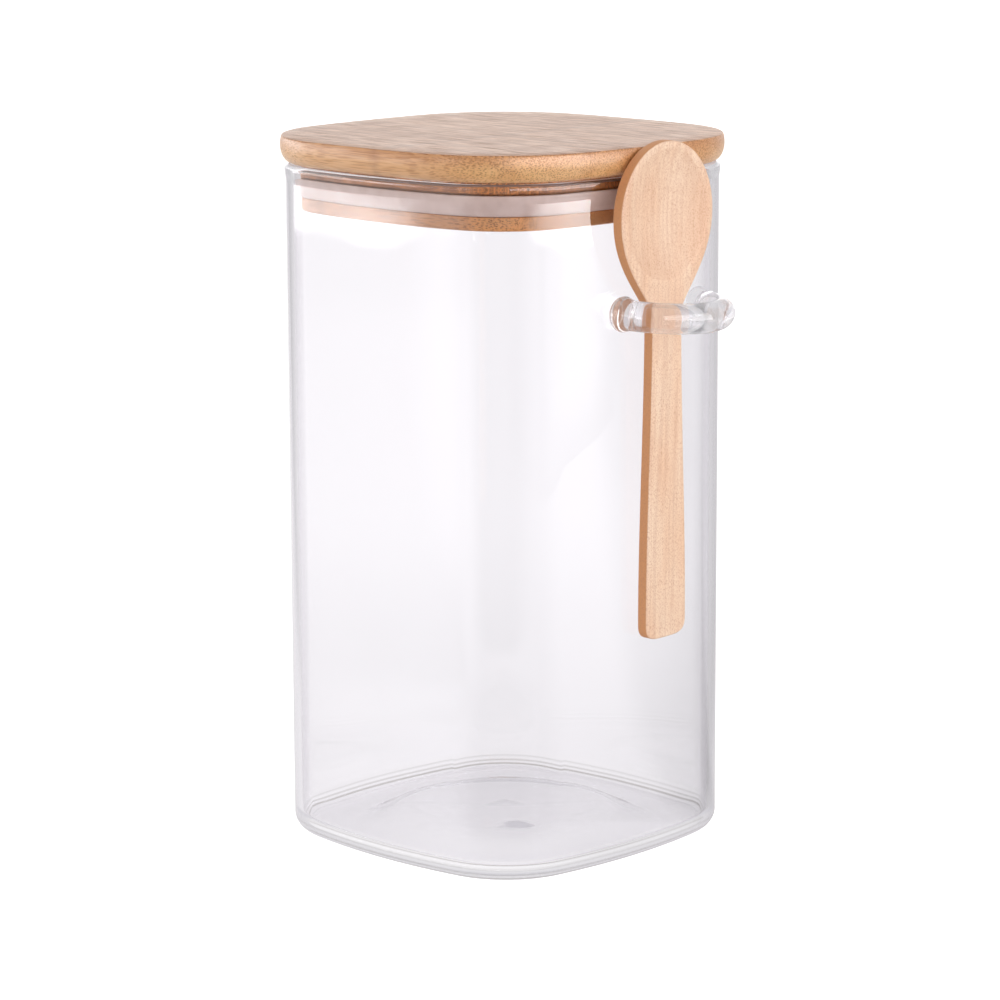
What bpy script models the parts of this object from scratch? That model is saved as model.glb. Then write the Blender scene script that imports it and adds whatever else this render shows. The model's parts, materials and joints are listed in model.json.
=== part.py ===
"""A square glass storage jar with a bamboo lid, a silicone gasket and a wooden spoon in a glass loop.

Lengths are in metres and angles in radians. +Z is up, and the jar stands on z = 0. The spoon hangs on the
front, which is the -Y side. The origin is under the middle of the whole object, so the jar's own axis lies
a little behind it.
"""

import math

import bmesh
import bpy

# Fits
FIT_GAP = 0.0003                # between pieces that touch on the real object
CUT_OVERRUN = 0.004             # how far a rod or a cutter runs past the surface where it is cut

# Jar body
JAR_WIDTH = 0.100               # across the middle of two opposite sides
JAR_HEIGHT = 0.1822             # standing plane to the crest of the rim
JAR_SIDE_RADIUS = 0.162         # each side bulges as a wide arc
JAR_CORNER_RADIUS = 0.0253
WALL = 0.0020
FLOOR_THICKNESS = 0.0026
BASE_FILLET = 0.0046            # outside, between the wall and the standing ring
FLOOR_FILLET = 0.0042           # inside, between the wall and the floor
STANDING_RING_WIDTH = 0.0040    # the flat ring that touches the table
PUNT_RISE = 0.0032              # how far the middle of the base is pushed up
PONTIL_RADIUS = 0.0060          # the round mark left by the glass-blower's iron
PONTIL_DEPTH = 0.0006
RIM_SWELL = 0.0003              # extra glass on each face of the fire-polished rim
RIM_BEAD_HEIGHT = 0.0050

# Loop
LOOP_ROD_DIAMETER = 0.0080
LOOP_BEND_RADIUS = 0.0151       # centreline of the half ring
LOOP_BELOW_RIM = 0.0357         # centreline below the crest of the rim, at the wall
LOOP_OFFSET = 0.0076            # middle of the loop, to the right of the middle of the front
LOOP_DROOP = math.radians(2.7)
LOOP_SIDE_TILT = math.radians(1.5)
FOOT_SWELL = 0.0008             # extra radius where the hot rod was pressed to the wall
FOOT_LENGTH = 0.0034

# Lid board
LID_OVERHANG = 0.00222          # past the jar's sides
LID_SIDE_RADIUS = 0.242
LID_CORNER_RADIUS = 0.0335
BOARD_THICKNESS = 0.0071
BOARD_TOP_ROUND_WIDTH = 0.0006
BOARD_TOP_ROUND_HEIGHT = 0.0024
BOARD_UNDER_ROUND_WIDTH = 0.0028
BOARD_UNDER_ROUND_HEIGHT = 0.0044

# Lid plug
PLUG_DEPTH = 0.0126             # below the board
PLUG_CLEARANCE = 0.0023         # to the inside of the glass
PLUG_FOOT_HEIGHT = 0.0037       # of the bamboo below the groove
PLUG_FOOT_ROUND = 0.0008
GROOVE_HEIGHT = 0.0060
GROOVE_DEPTH = 0.0020

# Gasket
WEB_THICKNESS = 0.0013
LIP_THICKNESS = 0.0009
LIP_CLEARANCE = 0.0003          # to the swell of the rim, so that the lid lifts out freely

# Spoon
SPOON_LENGTH = 0.131
SPOON_THICKNESS = 0.0032
SPOON_EDGE_ROUND = 0.0004
BOWL_WIDTH = 0.0350
BOWL_TIP_LENGTH = 0.0190        # from the widest place to the tip
SHOULDER_LENGTH = 0.0255        # from the widest place down to the neck
NECK_WIDTH = 0.0112
HANDLE_END_WIDTH = 0.0154
HANDLE_END_ROUND = 0.0055
HOLLOW_WIDTH = 0.0306
HOLLOW_LENGTH = 0.0345
HOLLOW_DEPTH = 0.0019
SPOON_OFFSET = 0.0036           # centreline to the left of the loop's middle, at the loop's height
SPOON_SIDE_LEAN = math.radians(1.25)
SPOON_LID_CLEARANCE = 0.0004

# Shares of the sizes above
PUNT_SHARES = (0.30, 0.50, 0.70, 0.86)
PONTIL_SHARES = (0.35, 0.70, 1.00)
FOOT_SHARES = (0.0, 0.18, 0.38, 0.65, 1.0)
LIP_TIP_SHARE = 0.35            # of the lip's thickness, rounded off at its tip
HOLLOW_SINK_SHARE = 0.6         # how far the ball that cuts the hollow stands off, of its own depth
SHOULDER_POWER = 2.2            # how full the shoulder stays below the widest place
NECK_POWER = 1.4                # how softly the shoulder runs out into the neck
HANDLE_END_POWER = 3.8          # 2 is a round end, more is squarer

# Facets
SIDE_STEPS = 6
CORNER_STEPS = 10
ROUND_STEPS = 5
PLUG_FOOT_STEPS = 3
SPOON_EDGE_STEPS = 3
RIM_STEPS = 8
LIP_STEPS = 4
ROD_SIDES = 16
BEND_STEPS = 22
TIP_STEPS = 9
SHOULDER_STEPS = 12
HANDLE_STEPS = 7
END_STEPS = 6
HOLLOW_SEGMENTS = 36
HOLLOW_RINGS = 24
SEAT_STEPS = 40
SHARP_ANGLE = math.radians(32)

# Heights and places that follow from the sizes
BOARD_BOTTOM = JAR_HEIGHT + FIT_GAP
BOARD_TOP = BOARD_BOTTOM + BOARD_THICKNESS
PLUG_TOP = BOARD_BOTTOM - FIT_GAP
PLUG_BOTTOM = BOARD_BOTTOM - PLUG_DEPTH
GROOVE_BOTTOM = PLUG_BOTTOM + PLUG_FOOT_HEIGHT
GROOVE_TOP = GROOVE_BOTTOM + GROOVE_HEIGHT
PLUG_INSET = WALL + PLUG_CLEARANCE
GROOVE_INSET = PLUG_INSET + GROOVE_DEPTH
JAR_HALF = JAR_WIDTH / 2
LID_HALF = JAR_HALF + LID_OVERHANG
LOOP_HEIGHT = JAR_HEIGHT - LOOP_BELOW_RIM
ROD_RADIUS = LOOP_ROD_DIAMETER / 2
LOOP_REACH = JAR_HALF + LOOP_BEND_RADIUS * math.cos(LOOP_DROOP) + ROD_RADIUS
JAR_AXIS_Y = (LOOP_REACH - LID_HALF) / 2


class SquareOutline:
    """A square with bulging sides and round corners, made of arcs that meet smoothly."""

    def __init__(self, half_width, side_radius, corner_radius):
        self.side_radius = side_radius
        self.corner_radius = corner_radius
        self.side_centre = half_width - side_radius
        between = side_radius - corner_radius
        across = math.sqrt(2 * between**2 - self.side_centre**2)
        self.corner_centre = (self.side_centre + across) / 2
        self.side_half_angle = math.atan2(self.corner_centre, self.corner_centre - self.side_centre)

    def quarter(self, inset):
        """One side and the corner after it, as points from the +X side round towards +Y."""
        points = []
        half = self.side_half_angle
        for step in range(SIDE_STEPS):
            angle = half * (2 * step / SIDE_STEPS - 1)
            radius = self.side_radius - inset
            points.append((self.side_centre + radius * math.cos(angle), radius * math.sin(angle)))
        for step in range(CORNER_STEPS):
            angle = half + (math.pi / 2 - 2 * half) * step / CORNER_STEPS
            radius = self.corner_radius - inset
            centre = self.corner_centre
            points.append((centre + radius * math.cos(angle), centre + radius * math.sin(angle)))
        return points

    def ring(self, inset, height, share=1.0):
        """The outline moved in by inset, then drawn in to a share of its size, at a height."""
        points = []
        for turn in range(4):
            cosine = round(math.cos(turn * math.pi / 2))
            sine = round(math.sin(turn * math.pi / 2))
            for x, y in self.quarter(inset):
                points.append(((x * cosine - y * sine) * share, (x * sine + y * cosine) * share, height))
        return points

    def depth_at(self, across):
        """How far a side stands out from the centre, at a place along that side."""
        return self.side_centre + math.sqrt(self.side_radius**2 - across**2)


JAR_OUTLINE = SquareOutline(JAR_HALF, JAR_SIDE_RADIUS, JAR_CORNER_RADIUS)
LID_OUTLINE = SquareOutline(LID_HALF, LID_SIDE_RADIUS, LID_CORNER_RADIUS)


def clear_scene():
    for obj in list(bpy.data.objects):
        bpy.data.objects.remove(obj, do_unlink=True)


def principled(name, colour, roughness, transmission=0.0, ior=1.5):
    material = bpy.data.materials.new(name)
    material.use_nodes = True
    shader = material.node_tree.nodes["Principled BSDF"]
    shader.inputs["Base Color"].default_value = (*colour, 1.0)
    shader.inputs["Roughness"].default_value = roughness
    shader.inputs["Metallic"].default_value = 0.0
    shader.inputs["Transmission Weight"].default_value = transmission
    shader.inputs["IOR"].default_value = ior
    return material


def axis_empty(name, location, parent=None, rotation=(0, 0, 0)):
    empty = bpy.data.objects.new(name, None)
    empty.location = location
    empty.rotation_euler = rotation
    empty.parent = parent
    bpy.context.scene.collection.objects.link(empty)
    return empty


def add_object(name, mesh, parent, location=(0, 0, 0), rotation=(0, 0, 0), material=None):
    obj = bpy.data.objects.new(name, mesh)
    obj.location = location
    obj.rotation_euler = rotation
    obj.parent = parent
    if material:
        mesh.materials.append(material)
    bpy.context.scene.collection.objects.link(obj)
    return obj


def finish_mesh(name, shape):
    """Turns a closed bmesh into a mesh with its faces out and its round stretches smooth."""
    bmesh.ops.recalc_face_normals(shape, faces=shape.faces)
    mesh = bpy.data.meshes.new(name)
    shape.to_mesh(mesh)
    shape.free()
    mesh.shade_smooth()
    mesh.set_sharp_from_angle(angle=SHARP_ANGLE)
    return mesh


def loft(name, rings, endless=False):
    """Skins a row of rings. An endless loft joins its last ring to its first, any other is capped."""
    shape = bmesh.new()
    rows = [[shape.verts.new(point) for point in ring] for ring in rings]
    pairs = list(zip(rows, rows[1:]))
    if endless:
        pairs.append((rows[-1], rows[0]))
    for lower, upper in pairs:
        for index in range(len(lower)):
            after = (index + 1) % len(lower)
            shape.faces.new((lower[index], lower[after], upper[after], upper[index]))
    if not endless:
        shape.faces.new(rows[0])
        shape.faces.new(rows[-1])
    return finish_mesh(name, shape)


def quarter_turn(steps):
    """Angles from 0 to a right angle, both included."""
    return [math.pi / 2 * step / steps for step in range(steps + 1)]


def punt_height(share):
    """Height of the pushed-up base over its own edge, at a share of the way out from the middle."""
    return PUNT_RISE * math.cos(share * math.pi / 2) ** 2


def base_rings(edge_inset, edge_height, pontil_side):
    """Rings of the underside or of the floor, from the middle out to the edge of the punt."""
    edge_half = JAR_HALF - edge_inset
    rings = []
    for pontil_share in PONTIL_SHARES:
        share = PONTIL_RADIUS * pontil_share / edge_half
        mark = pontil_side * PONTIL_DEPTH * (1 - pontil_share**2)
        rings.append(JAR_OUTLINE.ring(edge_inset, edge_height + punt_height(share) + mark, share))
    for share in PUNT_SHARES:
        rings.append(JAR_OUTLINE.ring(edge_inset, edge_height + punt_height(share), share))
    rings.append(JAR_OUTLINE.ring(edge_inset, edge_height))
    return rings


def rim_rings():
    """Up the outside of the bead, over the crest and down the inside."""
    start = JAR_HEIGHT - RIM_BEAD_HEIGHT
    crest_radius = WALL / 2 + RIM_SWELL
    crest_centre = JAR_HEIGHT - crest_radius
    middle = (start + crest_centre) / 2
    rings = [JAR_OUTLINE.ring(0, start), JAR_OUTLINE.ring(-RIM_SWELL / 2, middle)]
    for step in range(RIM_STEPS + 1):
        angle = math.pi * step / RIM_STEPS
        inset = WALL / 2 - crest_radius * math.cos(angle)
        rings.append(JAR_OUTLINE.ring(inset, crest_centre + crest_radius * math.sin(angle)))
    rings.append(JAR_OUTLINE.ring(WALL + RIM_SWELL / 2, middle))
    rings.append(JAR_OUTLINE.ring(WALL, start))
    return rings


def jar_mesh():
    """One skin, from the middle of the underside, round the rim and down to the middle of the floor."""
    rings = base_rings(BASE_FILLET + STANDING_RING_WIDTH, 0, 1)
    for angle in quarter_turn(ROUND_STEPS):
        inset = BASE_FILLET * (1 - math.sin(angle))
        rings.append(JAR_OUTLINE.ring(inset, BASE_FILLET * (1 - math.cos(angle))))
    rings += rim_rings()
    for angle in quarter_turn(ROUND_STEPS):
        inset = WALL + FLOOR_FILLET * (1 - math.cos(angle))
        rings.append(JAR_OUTLINE.ring(inset, FLOOR_THICKNESS + FLOOR_FILLET * (1 - math.sin(angle))))
    floor = base_rings(WALL + FLOOR_FILLET, FLOOR_THICKNESS, -1)
    rings += floor[-2::-1]
    return loft("jar_body", rings)


def rod_radius(to_foot):
    """The rod's radius at a distance from the wall that its nearer end is fused to."""
    near = max(0.0, 1 - max(0.0, to_foot) / FOOT_LENGTH)
    return ROD_RADIUS + FOOT_SWELL * near**2


def loop_centreline(along):
    """Point and direction on the loop's path. 0 is where its left leg meets the plane of the front."""
    bend = math.pi * LOOP_BEND_RADIUS
    if along < 0:
        return (-LOOP_BEND_RADIUS, -along), (0, -1)
    if along > bend:
        return (LOOP_BEND_RADIUS, along - bend), (0, 1)
    angle = along / LOOP_BEND_RADIUS
    place = (-LOOP_BEND_RADIUS * math.cos(angle), -LOOP_BEND_RADIUS * math.sin(angle))
    return place, (math.sin(angle), -math.cos(angle))


def loop_mesh():
    """A round rod swept along the half ring, with its feet run on into the wall, where they are cut off."""
    left_wall = JAR_OUTLINE.depth_at(LOOP_OFFSET - LOOP_BEND_RADIUS) - JAR_HALF
    right_wall = JAR_HALF - JAR_OUTLINE.depth_at(LOOP_OFFSET + LOOP_BEND_RADIUS)
    right_wall += math.pi * LOOP_BEND_RADIUS
    left_stations = [left_wall + FOOT_LENGTH * share for share in FOOT_SHARES]
    right_stations = [right_wall - FOOT_LENGTH * share for share in reversed(FOOT_SHARES)]
    free = right_stations[0] - left_stations[-1]
    bend_stations = [left_stations[-1] + free * step / BEND_STEPS for step in range(1, BEND_STEPS)]
    stations = [left_wall - CUT_OVERRUN, *left_stations, *bend_stations, *right_stations]
    stations.append(right_wall + CUT_OVERRUN)
    rings = []
    for along in stations:
        (x, y), (heading_x, heading_y) = loop_centreline(along)
        radius = rod_radius(min(along - left_wall, right_wall - along))
        ring = []
        for side in range(ROD_SIDES):
            angle = 2 * math.pi * side / ROD_SIDES
            out = radius * math.cos(angle)
            ring.append((x - heading_y * out, y + heading_x * out, radius * math.sin(angle)))
        rings.append(ring)
    return loft("spoon_loop", rings)


def wall_cutter(parent):
    """A solid block with the jar's outline, a fit gap larger, which trims the loop's feet to the wall."""
    low = LOOP_HEIGHT - LOOP_ROD_DIAMETER
    high = LOOP_HEIGHT + LOOP_ROD_DIAMETER
    rings = [JAR_OUTLINE.ring(-FIT_GAP, low), JAR_OUTLINE.ring(-FIT_GAP, high)]
    cutter = add_object("loop_seat_cutter", loft("loop_seat_cutter", rings), parent)
    cutter.hide_render = True
    cutter.display_type = "WIRE"
    return cutter


def cut_with(obj, cutter, name):
    cut = obj.modifiers.new(name, "BOOLEAN")
    cut.operation = "DIFFERENCE"
    cut.solver = "EXACT"
    cut.object = cutter


def board_mesh():
    """The lid's board: flat under, a full round under its edge, and a crisp edge on top."""
    rings = []
    for angle in quarter_turn(ROUND_STEPS):
        inset = BOARD_UNDER_ROUND_WIDTH * (1 - math.sin(angle))
        rise = BOARD_UNDER_ROUND_HEIGHT * (1 - math.cos(angle))
        rings.append(LID_OUTLINE.ring(inset, BOARD_BOTTOM + rise))
    for angle in quarter_turn(ROUND_STEPS):
        inset = BOARD_TOP_ROUND_WIDTH * (1 - math.cos(angle))
        drop = BOARD_TOP_ROUND_HEIGHT * (1 - math.sin(angle))
        rings.append(LID_OUTLINE.ring(inset, BOARD_TOP - drop))
    return loft("lid_board", rings)


def plug_mesh():
    """The plug, which follows the inside of the glass, with a square groove for the gasket."""
    rings = []
    for angle in quarter_turn(PLUG_FOOT_STEPS):
        inset = PLUG_INSET + PLUG_FOOT_ROUND * (1 - math.sin(angle))
        rings.append(JAR_OUTLINE.ring(inset, PLUG_BOTTOM + PLUG_FOOT_ROUND * (1 - math.cos(angle))))
    rings.append(JAR_OUTLINE.ring(PLUG_INSET, GROOVE_BOTTOM))
    rings.append(JAR_OUTLINE.ring(GROOVE_INSET, GROOVE_BOTTOM))
    rings.append(JAR_OUTLINE.ring(GROOVE_INSET, GROOVE_TOP))
    rings.append(JAR_OUTLINE.ring(PLUG_INSET, GROOVE_TOP))
    rings.append(JAR_OUTLINE.ring(PLUG_INSET, PLUG_TOP))
    return loft("lid_plug", rings)


def gasket_mesh():
    """A web that sits in the groove and one cupped lip that rises and flares to the glass."""
    low = GROOVE_BOTTOM + FIT_GAP
    high = GROOVE_TOP - FIT_GAP
    web_inner = GROOVE_INSET - FIT_GAP
    web_outer = web_inner - WEB_THICKNESS
    lip_outer = WALL + RIM_SWELL + LIP_CLEARANCE
    flare = PLUG_INSET - lip_outer
    tip_round = LIP_THICKNESS * LIP_TIP_SHARE
    lip_rise = high - low - tip_round
    profile = [(web_inner, high), (web_inner, low)]
    for angle in quarter_turn(LIP_STEPS):
        profile.append((PLUG_INSET - flare * math.sin(angle), low + lip_rise * (1 - math.cos(angle))))
    profile.append((lip_outer + tip_round, high))
    profile.append((lip_outer + LIP_THICKNESS - tip_round, high))
    inner_rise = lip_rise - LIP_THICKNESS
    for angle in reversed(quarter_turn(LIP_STEPS)):
        inset = web_outer - (web_outer - lip_outer - LIP_THICKNESS) * math.sin(angle)
        profile.append((inset, low + LIP_THICKNESS + inner_rise * (1 - math.cos(angle))))
    profile.append((web_outer, high))
    return loft("lid_gasket", [JAR_OUTLINE.ring(inset, height) for inset, height in profile], endless=True)


def spoon_half_width(along):
    """Half the spoon's width at a distance from the end of its handle, without the round of the ends."""
    widest = SPOON_LENGTH - BOWL_TIP_LENGTH
    neck = widest - SHOULDER_LENGTH
    if along >= neck:
        share = min(1.0, max(0.0, widest - along) / SHOULDER_LENGTH)
        swell = (1 - share**SHOULDER_POWER) ** NECK_POWER
        return (NECK_WIDTH + (BOWL_WIDTH - NECK_WIDTH) * swell) / 2
    share = max(0.0, (along - HANDLE_END_ROUND) / (neck - HANDLE_END_ROUND))
    ease = share * share * (3 - 2 * share)
    return (HANDLE_END_WIDTH + (NECK_WIDTH - HANDLE_END_WIDTH) * ease) / 2


def spoon_side():
    """The spoon's right edge as points of half width and distance, from the handle's end to the tip."""
    widest = SPOON_LENGTH - BOWL_TIP_LENGTH
    neck = widest - SHOULDER_LENGTH
    side = []
    for angle in quarter_turn(END_STEPS)[:-1]:
        power = 2 / HANDLE_END_POWER
        half = HANDLE_END_WIDTH / 2 * math.sin(angle) ** power
        side.append((half, HANDLE_END_ROUND * (1 - math.cos(angle) ** power)))
    for step in range(HANDLE_STEPS):
        along = HANDLE_END_ROUND + (neck - HANDLE_END_ROUND) * step / HANDLE_STEPS
        side.append((spoon_half_width(along), along))
    for step in range(SHOULDER_STEPS):
        along = neck + SHOULDER_LENGTH * step / SHOULDER_STEPS
        side.append((spoon_half_width(along), along))
    for angle in quarter_turn(TIP_STEPS):
        side.append((BOWL_WIDTH / 2 * math.cos(angle), widest + BOWL_TIP_LENGTH * math.sin(angle)))
    return side


def spoon_outline():
    side = spoon_side()
    left = [(-half, along) for half, along in side[1:-1]]
    return side[:-1] + [(0.0, SPOON_LENGTH)] + left[::-1]


def spoon_mesh():
    """The spoon's blank: its outline, with the back at y = 0 and the front towards -Y."""
    outline = spoon_outline()
    back = [(x, 0.0, along) for x, along in outline]
    front = [(x, -SPOON_THICKNESS, along) for x, along in outline]
    return loft("wooden_spoon", [back, front])


def hollow_cutter(parent, rotation):
    """A flattened ball that stands off the spoon's front, so that the hollow it cuts is shallow."""
    ball_depth = HOLLOW_DEPTH / (1 - HOLLOW_SINK_SHARE)
    spread = math.sqrt(1 - HOLLOW_SINK_SHARE**2)
    shape = bmesh.new()
    bmesh.ops.create_uvsphere(shape, u_segments=HOLLOW_SEGMENTS, v_segments=HOLLOW_RINGS, radius=1.0)
    size = (HOLLOW_WIDTH / 2 / spread, ball_depth, HOLLOW_LENGTH / 2 / spread)
    stand_off = SPOON_THICKNESS + ball_depth * HOLLOW_SINK_SHARE
    centre = (0.0, -stand_off, SPOON_LENGTH - BOWL_TIP_LENGTH)
    bmesh.ops.scale(shape, vec=size, verts=shape.verts)
    bmesh.ops.translate(shape, vec=centre, verts=shape.verts)
    mesh = finish_mesh("spoon_hollow_cutter", shape)
    cutter = add_object("spoon_hollow_cutter", mesh, parent, rotation=rotation)
    cutter.hide_render = True
    cutter.display_type = "WIRE"
    return cutter


def spoon_lean(hang):
    """The lean that takes the spoon's back from the wall at its lower end clear past the lid's edge."""
    rise = BOARD_TOP - LOOP_HEIGHT + hang
    return math.atan2(LID_OVERHANG + SPOON_LID_CLEARANCE, rise)


def shoulder_gap(hang):
    """Least gap between the spoon's left edge and the loop, with hang of the spoon below the loop."""
    back = FIT_GAP + hang * math.tan(spoon_lean(hang))
    leg_rise = LOOP_BEND_RADIUS * math.sin(LOOP_SIDE_TILT)
    gaps = []
    for depth in (back, back + SPOON_THICKNESS):
        leg_x = SPOON_OFFSET - math.sqrt(LOOP_BEND_RADIUS**2 - depth**2)
        radius = rod_radius(depth)
        for step in range(1, SEAT_STEPS):
            rise = radius * (2 * step / SEAT_STEPS - 1)
            along = hang + leg_rise + rise
            edge_x = -spoon_half_width(along) - (along - hang) * math.tan(SPOON_SIDE_LEAN)
            gaps.append(edge_x - leg_x - math.sqrt(radius**2 - rise**2))
    return min(gaps)


def spoon_hang_length():
    """Length of the spoon below the loop's height once its shoulder has come to rest on the left leg."""
    longest = SPOON_LENGTH - BOWL_TIP_LENGTH
    shortest = longest - SHOULDER_LENGTH - LOOP_ROD_DIAMETER
    for _ in range(SEAT_STEPS):
        hang = (longest + shortest) / 2
        if shoulder_gap(hang) < FIT_GAP:
            longest = hang
        else:
            shortest = hang
    return shortest


def build_jar(jar_axis):
    glass = principled("clear_glass", (0.93, 0.95, 0.96), 0.03, transmission=0.95, ior=1.47)
    add_object("jar_body", jar_mesh(), jar_axis, material=glass)
    loop_glass = principled("loop_glass", (0.93, 0.95, 0.96), 0.03, transmission=0.95, ior=1.47)
    place = (LOOP_OFFSET, -JAR_HALF, LOOP_HEIGHT)
    turn = (LOOP_DROOP, LOOP_SIDE_TILT, 0)
    loop = add_object("spoon_loop", loop_mesh(), jar_axis, place, turn, loop_glass)
    cut_with(loop, wall_cutter(jar_axis), "seat on the wall")


def build_lid(jar_axis):
    """The lid's meshes keep their heights over the table, and hang on an empty at the rim."""
    lid_axis = axis_empty("lid_lift_axis", (0, 0, JAR_HEIGHT), jar_axis)
    sunk = (0, 0, -JAR_HEIGHT)
    board_wood = principled("board_bamboo", (0.66, 0.45, 0.26), 0.45)
    plug_wood = principled("plug_bamboo", (0.62, 0.40, 0.20), 0.50)
    silicone = principled("gasket_silicone", (0.86, 0.84, 0.82), 0.35, transmission=0.25, ior=1.41)
    add_object("lid_board", board_mesh(), lid_axis, sunk, material=board_wood)
    add_object("lid_plug", plug_mesh(), lid_axis, sunk, material=plug_wood)
    add_object("lid_gasket", gasket_mesh(), lid_axis, sunk, material=silicone)


def build_spoon(jar_axis):
    """The empty lies on the spoon's path: its Z leans out just enough to pass the lid's edge."""
    hang = spoon_hang_length()
    end_x = LOOP_OFFSET - SPOON_OFFSET + hang * math.tan(SPOON_SIDE_LEAN)
    place = (end_x, -JAR_HALF - FIT_GAP, LOOP_HEIGHT - hang)
    spoon_axis = axis_empty("spoon_lift_axis", place, jar_axis, (spoon_lean(hang), 0, 0))
    wood = principled("spoon_wood", (0.78, 0.52, 0.31), 0.55)
    turn = (0, -SPOON_SIDE_LEAN, 0)
    spoon = add_object("wooden_spoon", spoon_mesh(), spoon_axis, rotation=turn, material=wood)
    rounded = spoon.modifiers.new("soft edges", "BEVEL")
    rounded.width = SPOON_EDGE_ROUND
    rounded.segments = SPOON_EDGE_STEPS
    rounded.limit_method = "ANGLE"
    rounded.angle_limit = SHARP_ANGLE
    cut_with(spoon, hollow_cutter(spoon_axis, turn), "hollow of the bowl")


def main():
    clear_scene()
    jar_axis = axis_empty("jar_axis", (0, JAR_AXIS_Y, 0))
    build_jar(jar_axis)
    build_lid(jar_axis)
    build_spoon(jar_axis)
    bpy.context.view_layer.update()


main()
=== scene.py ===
# %% [markdown]
# # A square glass jar with a bamboo lid and a wooden spoon
#
# The packed model brings the jar's solids and says where each one sits and what it moves with. This lesson
# gives them their looks: clear glass, bamboo with end grain, milky silicone and pale beech. Everything is
# in metres, +Z is up, and the jar stands on z = 0. The spoon hangs on the front, which is the -Y side.

import json
import math

import bmesh
import bpy
from mathutils import Euler, Matrix, Vector


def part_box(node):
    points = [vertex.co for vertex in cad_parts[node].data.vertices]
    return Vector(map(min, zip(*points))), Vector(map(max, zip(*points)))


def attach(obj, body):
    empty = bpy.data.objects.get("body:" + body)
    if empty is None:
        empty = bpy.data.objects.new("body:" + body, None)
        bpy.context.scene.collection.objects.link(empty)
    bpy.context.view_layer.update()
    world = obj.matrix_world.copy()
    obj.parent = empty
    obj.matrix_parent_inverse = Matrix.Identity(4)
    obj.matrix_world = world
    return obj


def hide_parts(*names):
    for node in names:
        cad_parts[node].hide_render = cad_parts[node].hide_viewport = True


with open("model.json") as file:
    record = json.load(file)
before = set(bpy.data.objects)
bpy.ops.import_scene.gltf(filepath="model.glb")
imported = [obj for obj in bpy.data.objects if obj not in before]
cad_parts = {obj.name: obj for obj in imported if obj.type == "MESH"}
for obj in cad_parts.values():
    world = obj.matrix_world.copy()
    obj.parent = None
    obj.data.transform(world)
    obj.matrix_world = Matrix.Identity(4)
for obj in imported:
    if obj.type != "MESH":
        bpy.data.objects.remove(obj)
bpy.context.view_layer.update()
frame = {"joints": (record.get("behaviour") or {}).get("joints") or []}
jar_low, jar_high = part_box("jar_body")
AXIS = Vector(((jar_low.x + jar_high.x) / 2, (jar_low.y + jar_high.y) / 2, 0.0))

# %% [markdown]
# The camera stands in front of one corner, a little above the lid, as for a catalogue picture. Its place
# came from fitting the jar's known square to the picture: about a metre away, looking 11 degrees down,
# through a long lens. A camera's matrix is built from three directions, to its right, up, and backwards,
# and its place.

# %% Camera
CAMERA_DISTANCE = 1.0135
CAMERA_HEIGHT = 0.2918
CAMERA_PITCH = math.radians(11.24)
CAMERA_YAW = 0.001
CAMERA_ROLL = -0.0043
CORNER_TURN = math.radians(45.88)
FOCAL_LENGTH = 137.84


def make_camera():
    to_world = Matrix.Rotation(-CORNER_TURN, 3, "Z")
    level = Vector((-math.sin(CAMERA_YAW), math.cos(CAMERA_YAW), 0))
    side = Vector((math.cos(CAMERA_YAW), math.sin(CAMERA_YAW), 0))
    rise = Vector((0, 0, 1))
    ahead = level * math.cos(CAMERA_PITCH) - rise * math.sin(CAMERA_PITCH)
    above = level * math.sin(CAMERA_PITCH) + rise * math.cos(CAMERA_PITCH)
    right = to_world @ (side * math.cos(CAMERA_ROLL) + above * math.sin(CAMERA_ROLL))
    up = to_world @ (above * math.cos(CAMERA_ROLL) - side * math.sin(CAMERA_ROLL))
    back = to_world @ -ahead
    place = to_world @ Vector((0, -CAMERA_DISTANCE, CAMERA_HEIGHT)) + AXIS
    data = bpy.data.cameras.new("camera")
    data.sensor_width = 36
    data.lens = FOCAL_LENGTH
    camera = bpy.data.objects.new("camera", data)
    camera.matrix_world = Matrix((right, up, back)).transposed().to_4x4()
    camera.location = place
    bpy.context.scene.collection.objects.link(camera)
    bpy.context.scene.camera = camera
    return camera


camera = make_camera()
print("camera at", [round(v, 3) for v in camera.location])

# %% [markdown]
# Node trees are easier to read when each node is one call. A bench adds nodes to one tree. A plain value
# given for a socket is set on it, and another node's output given for a socket is wired to it.

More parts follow.
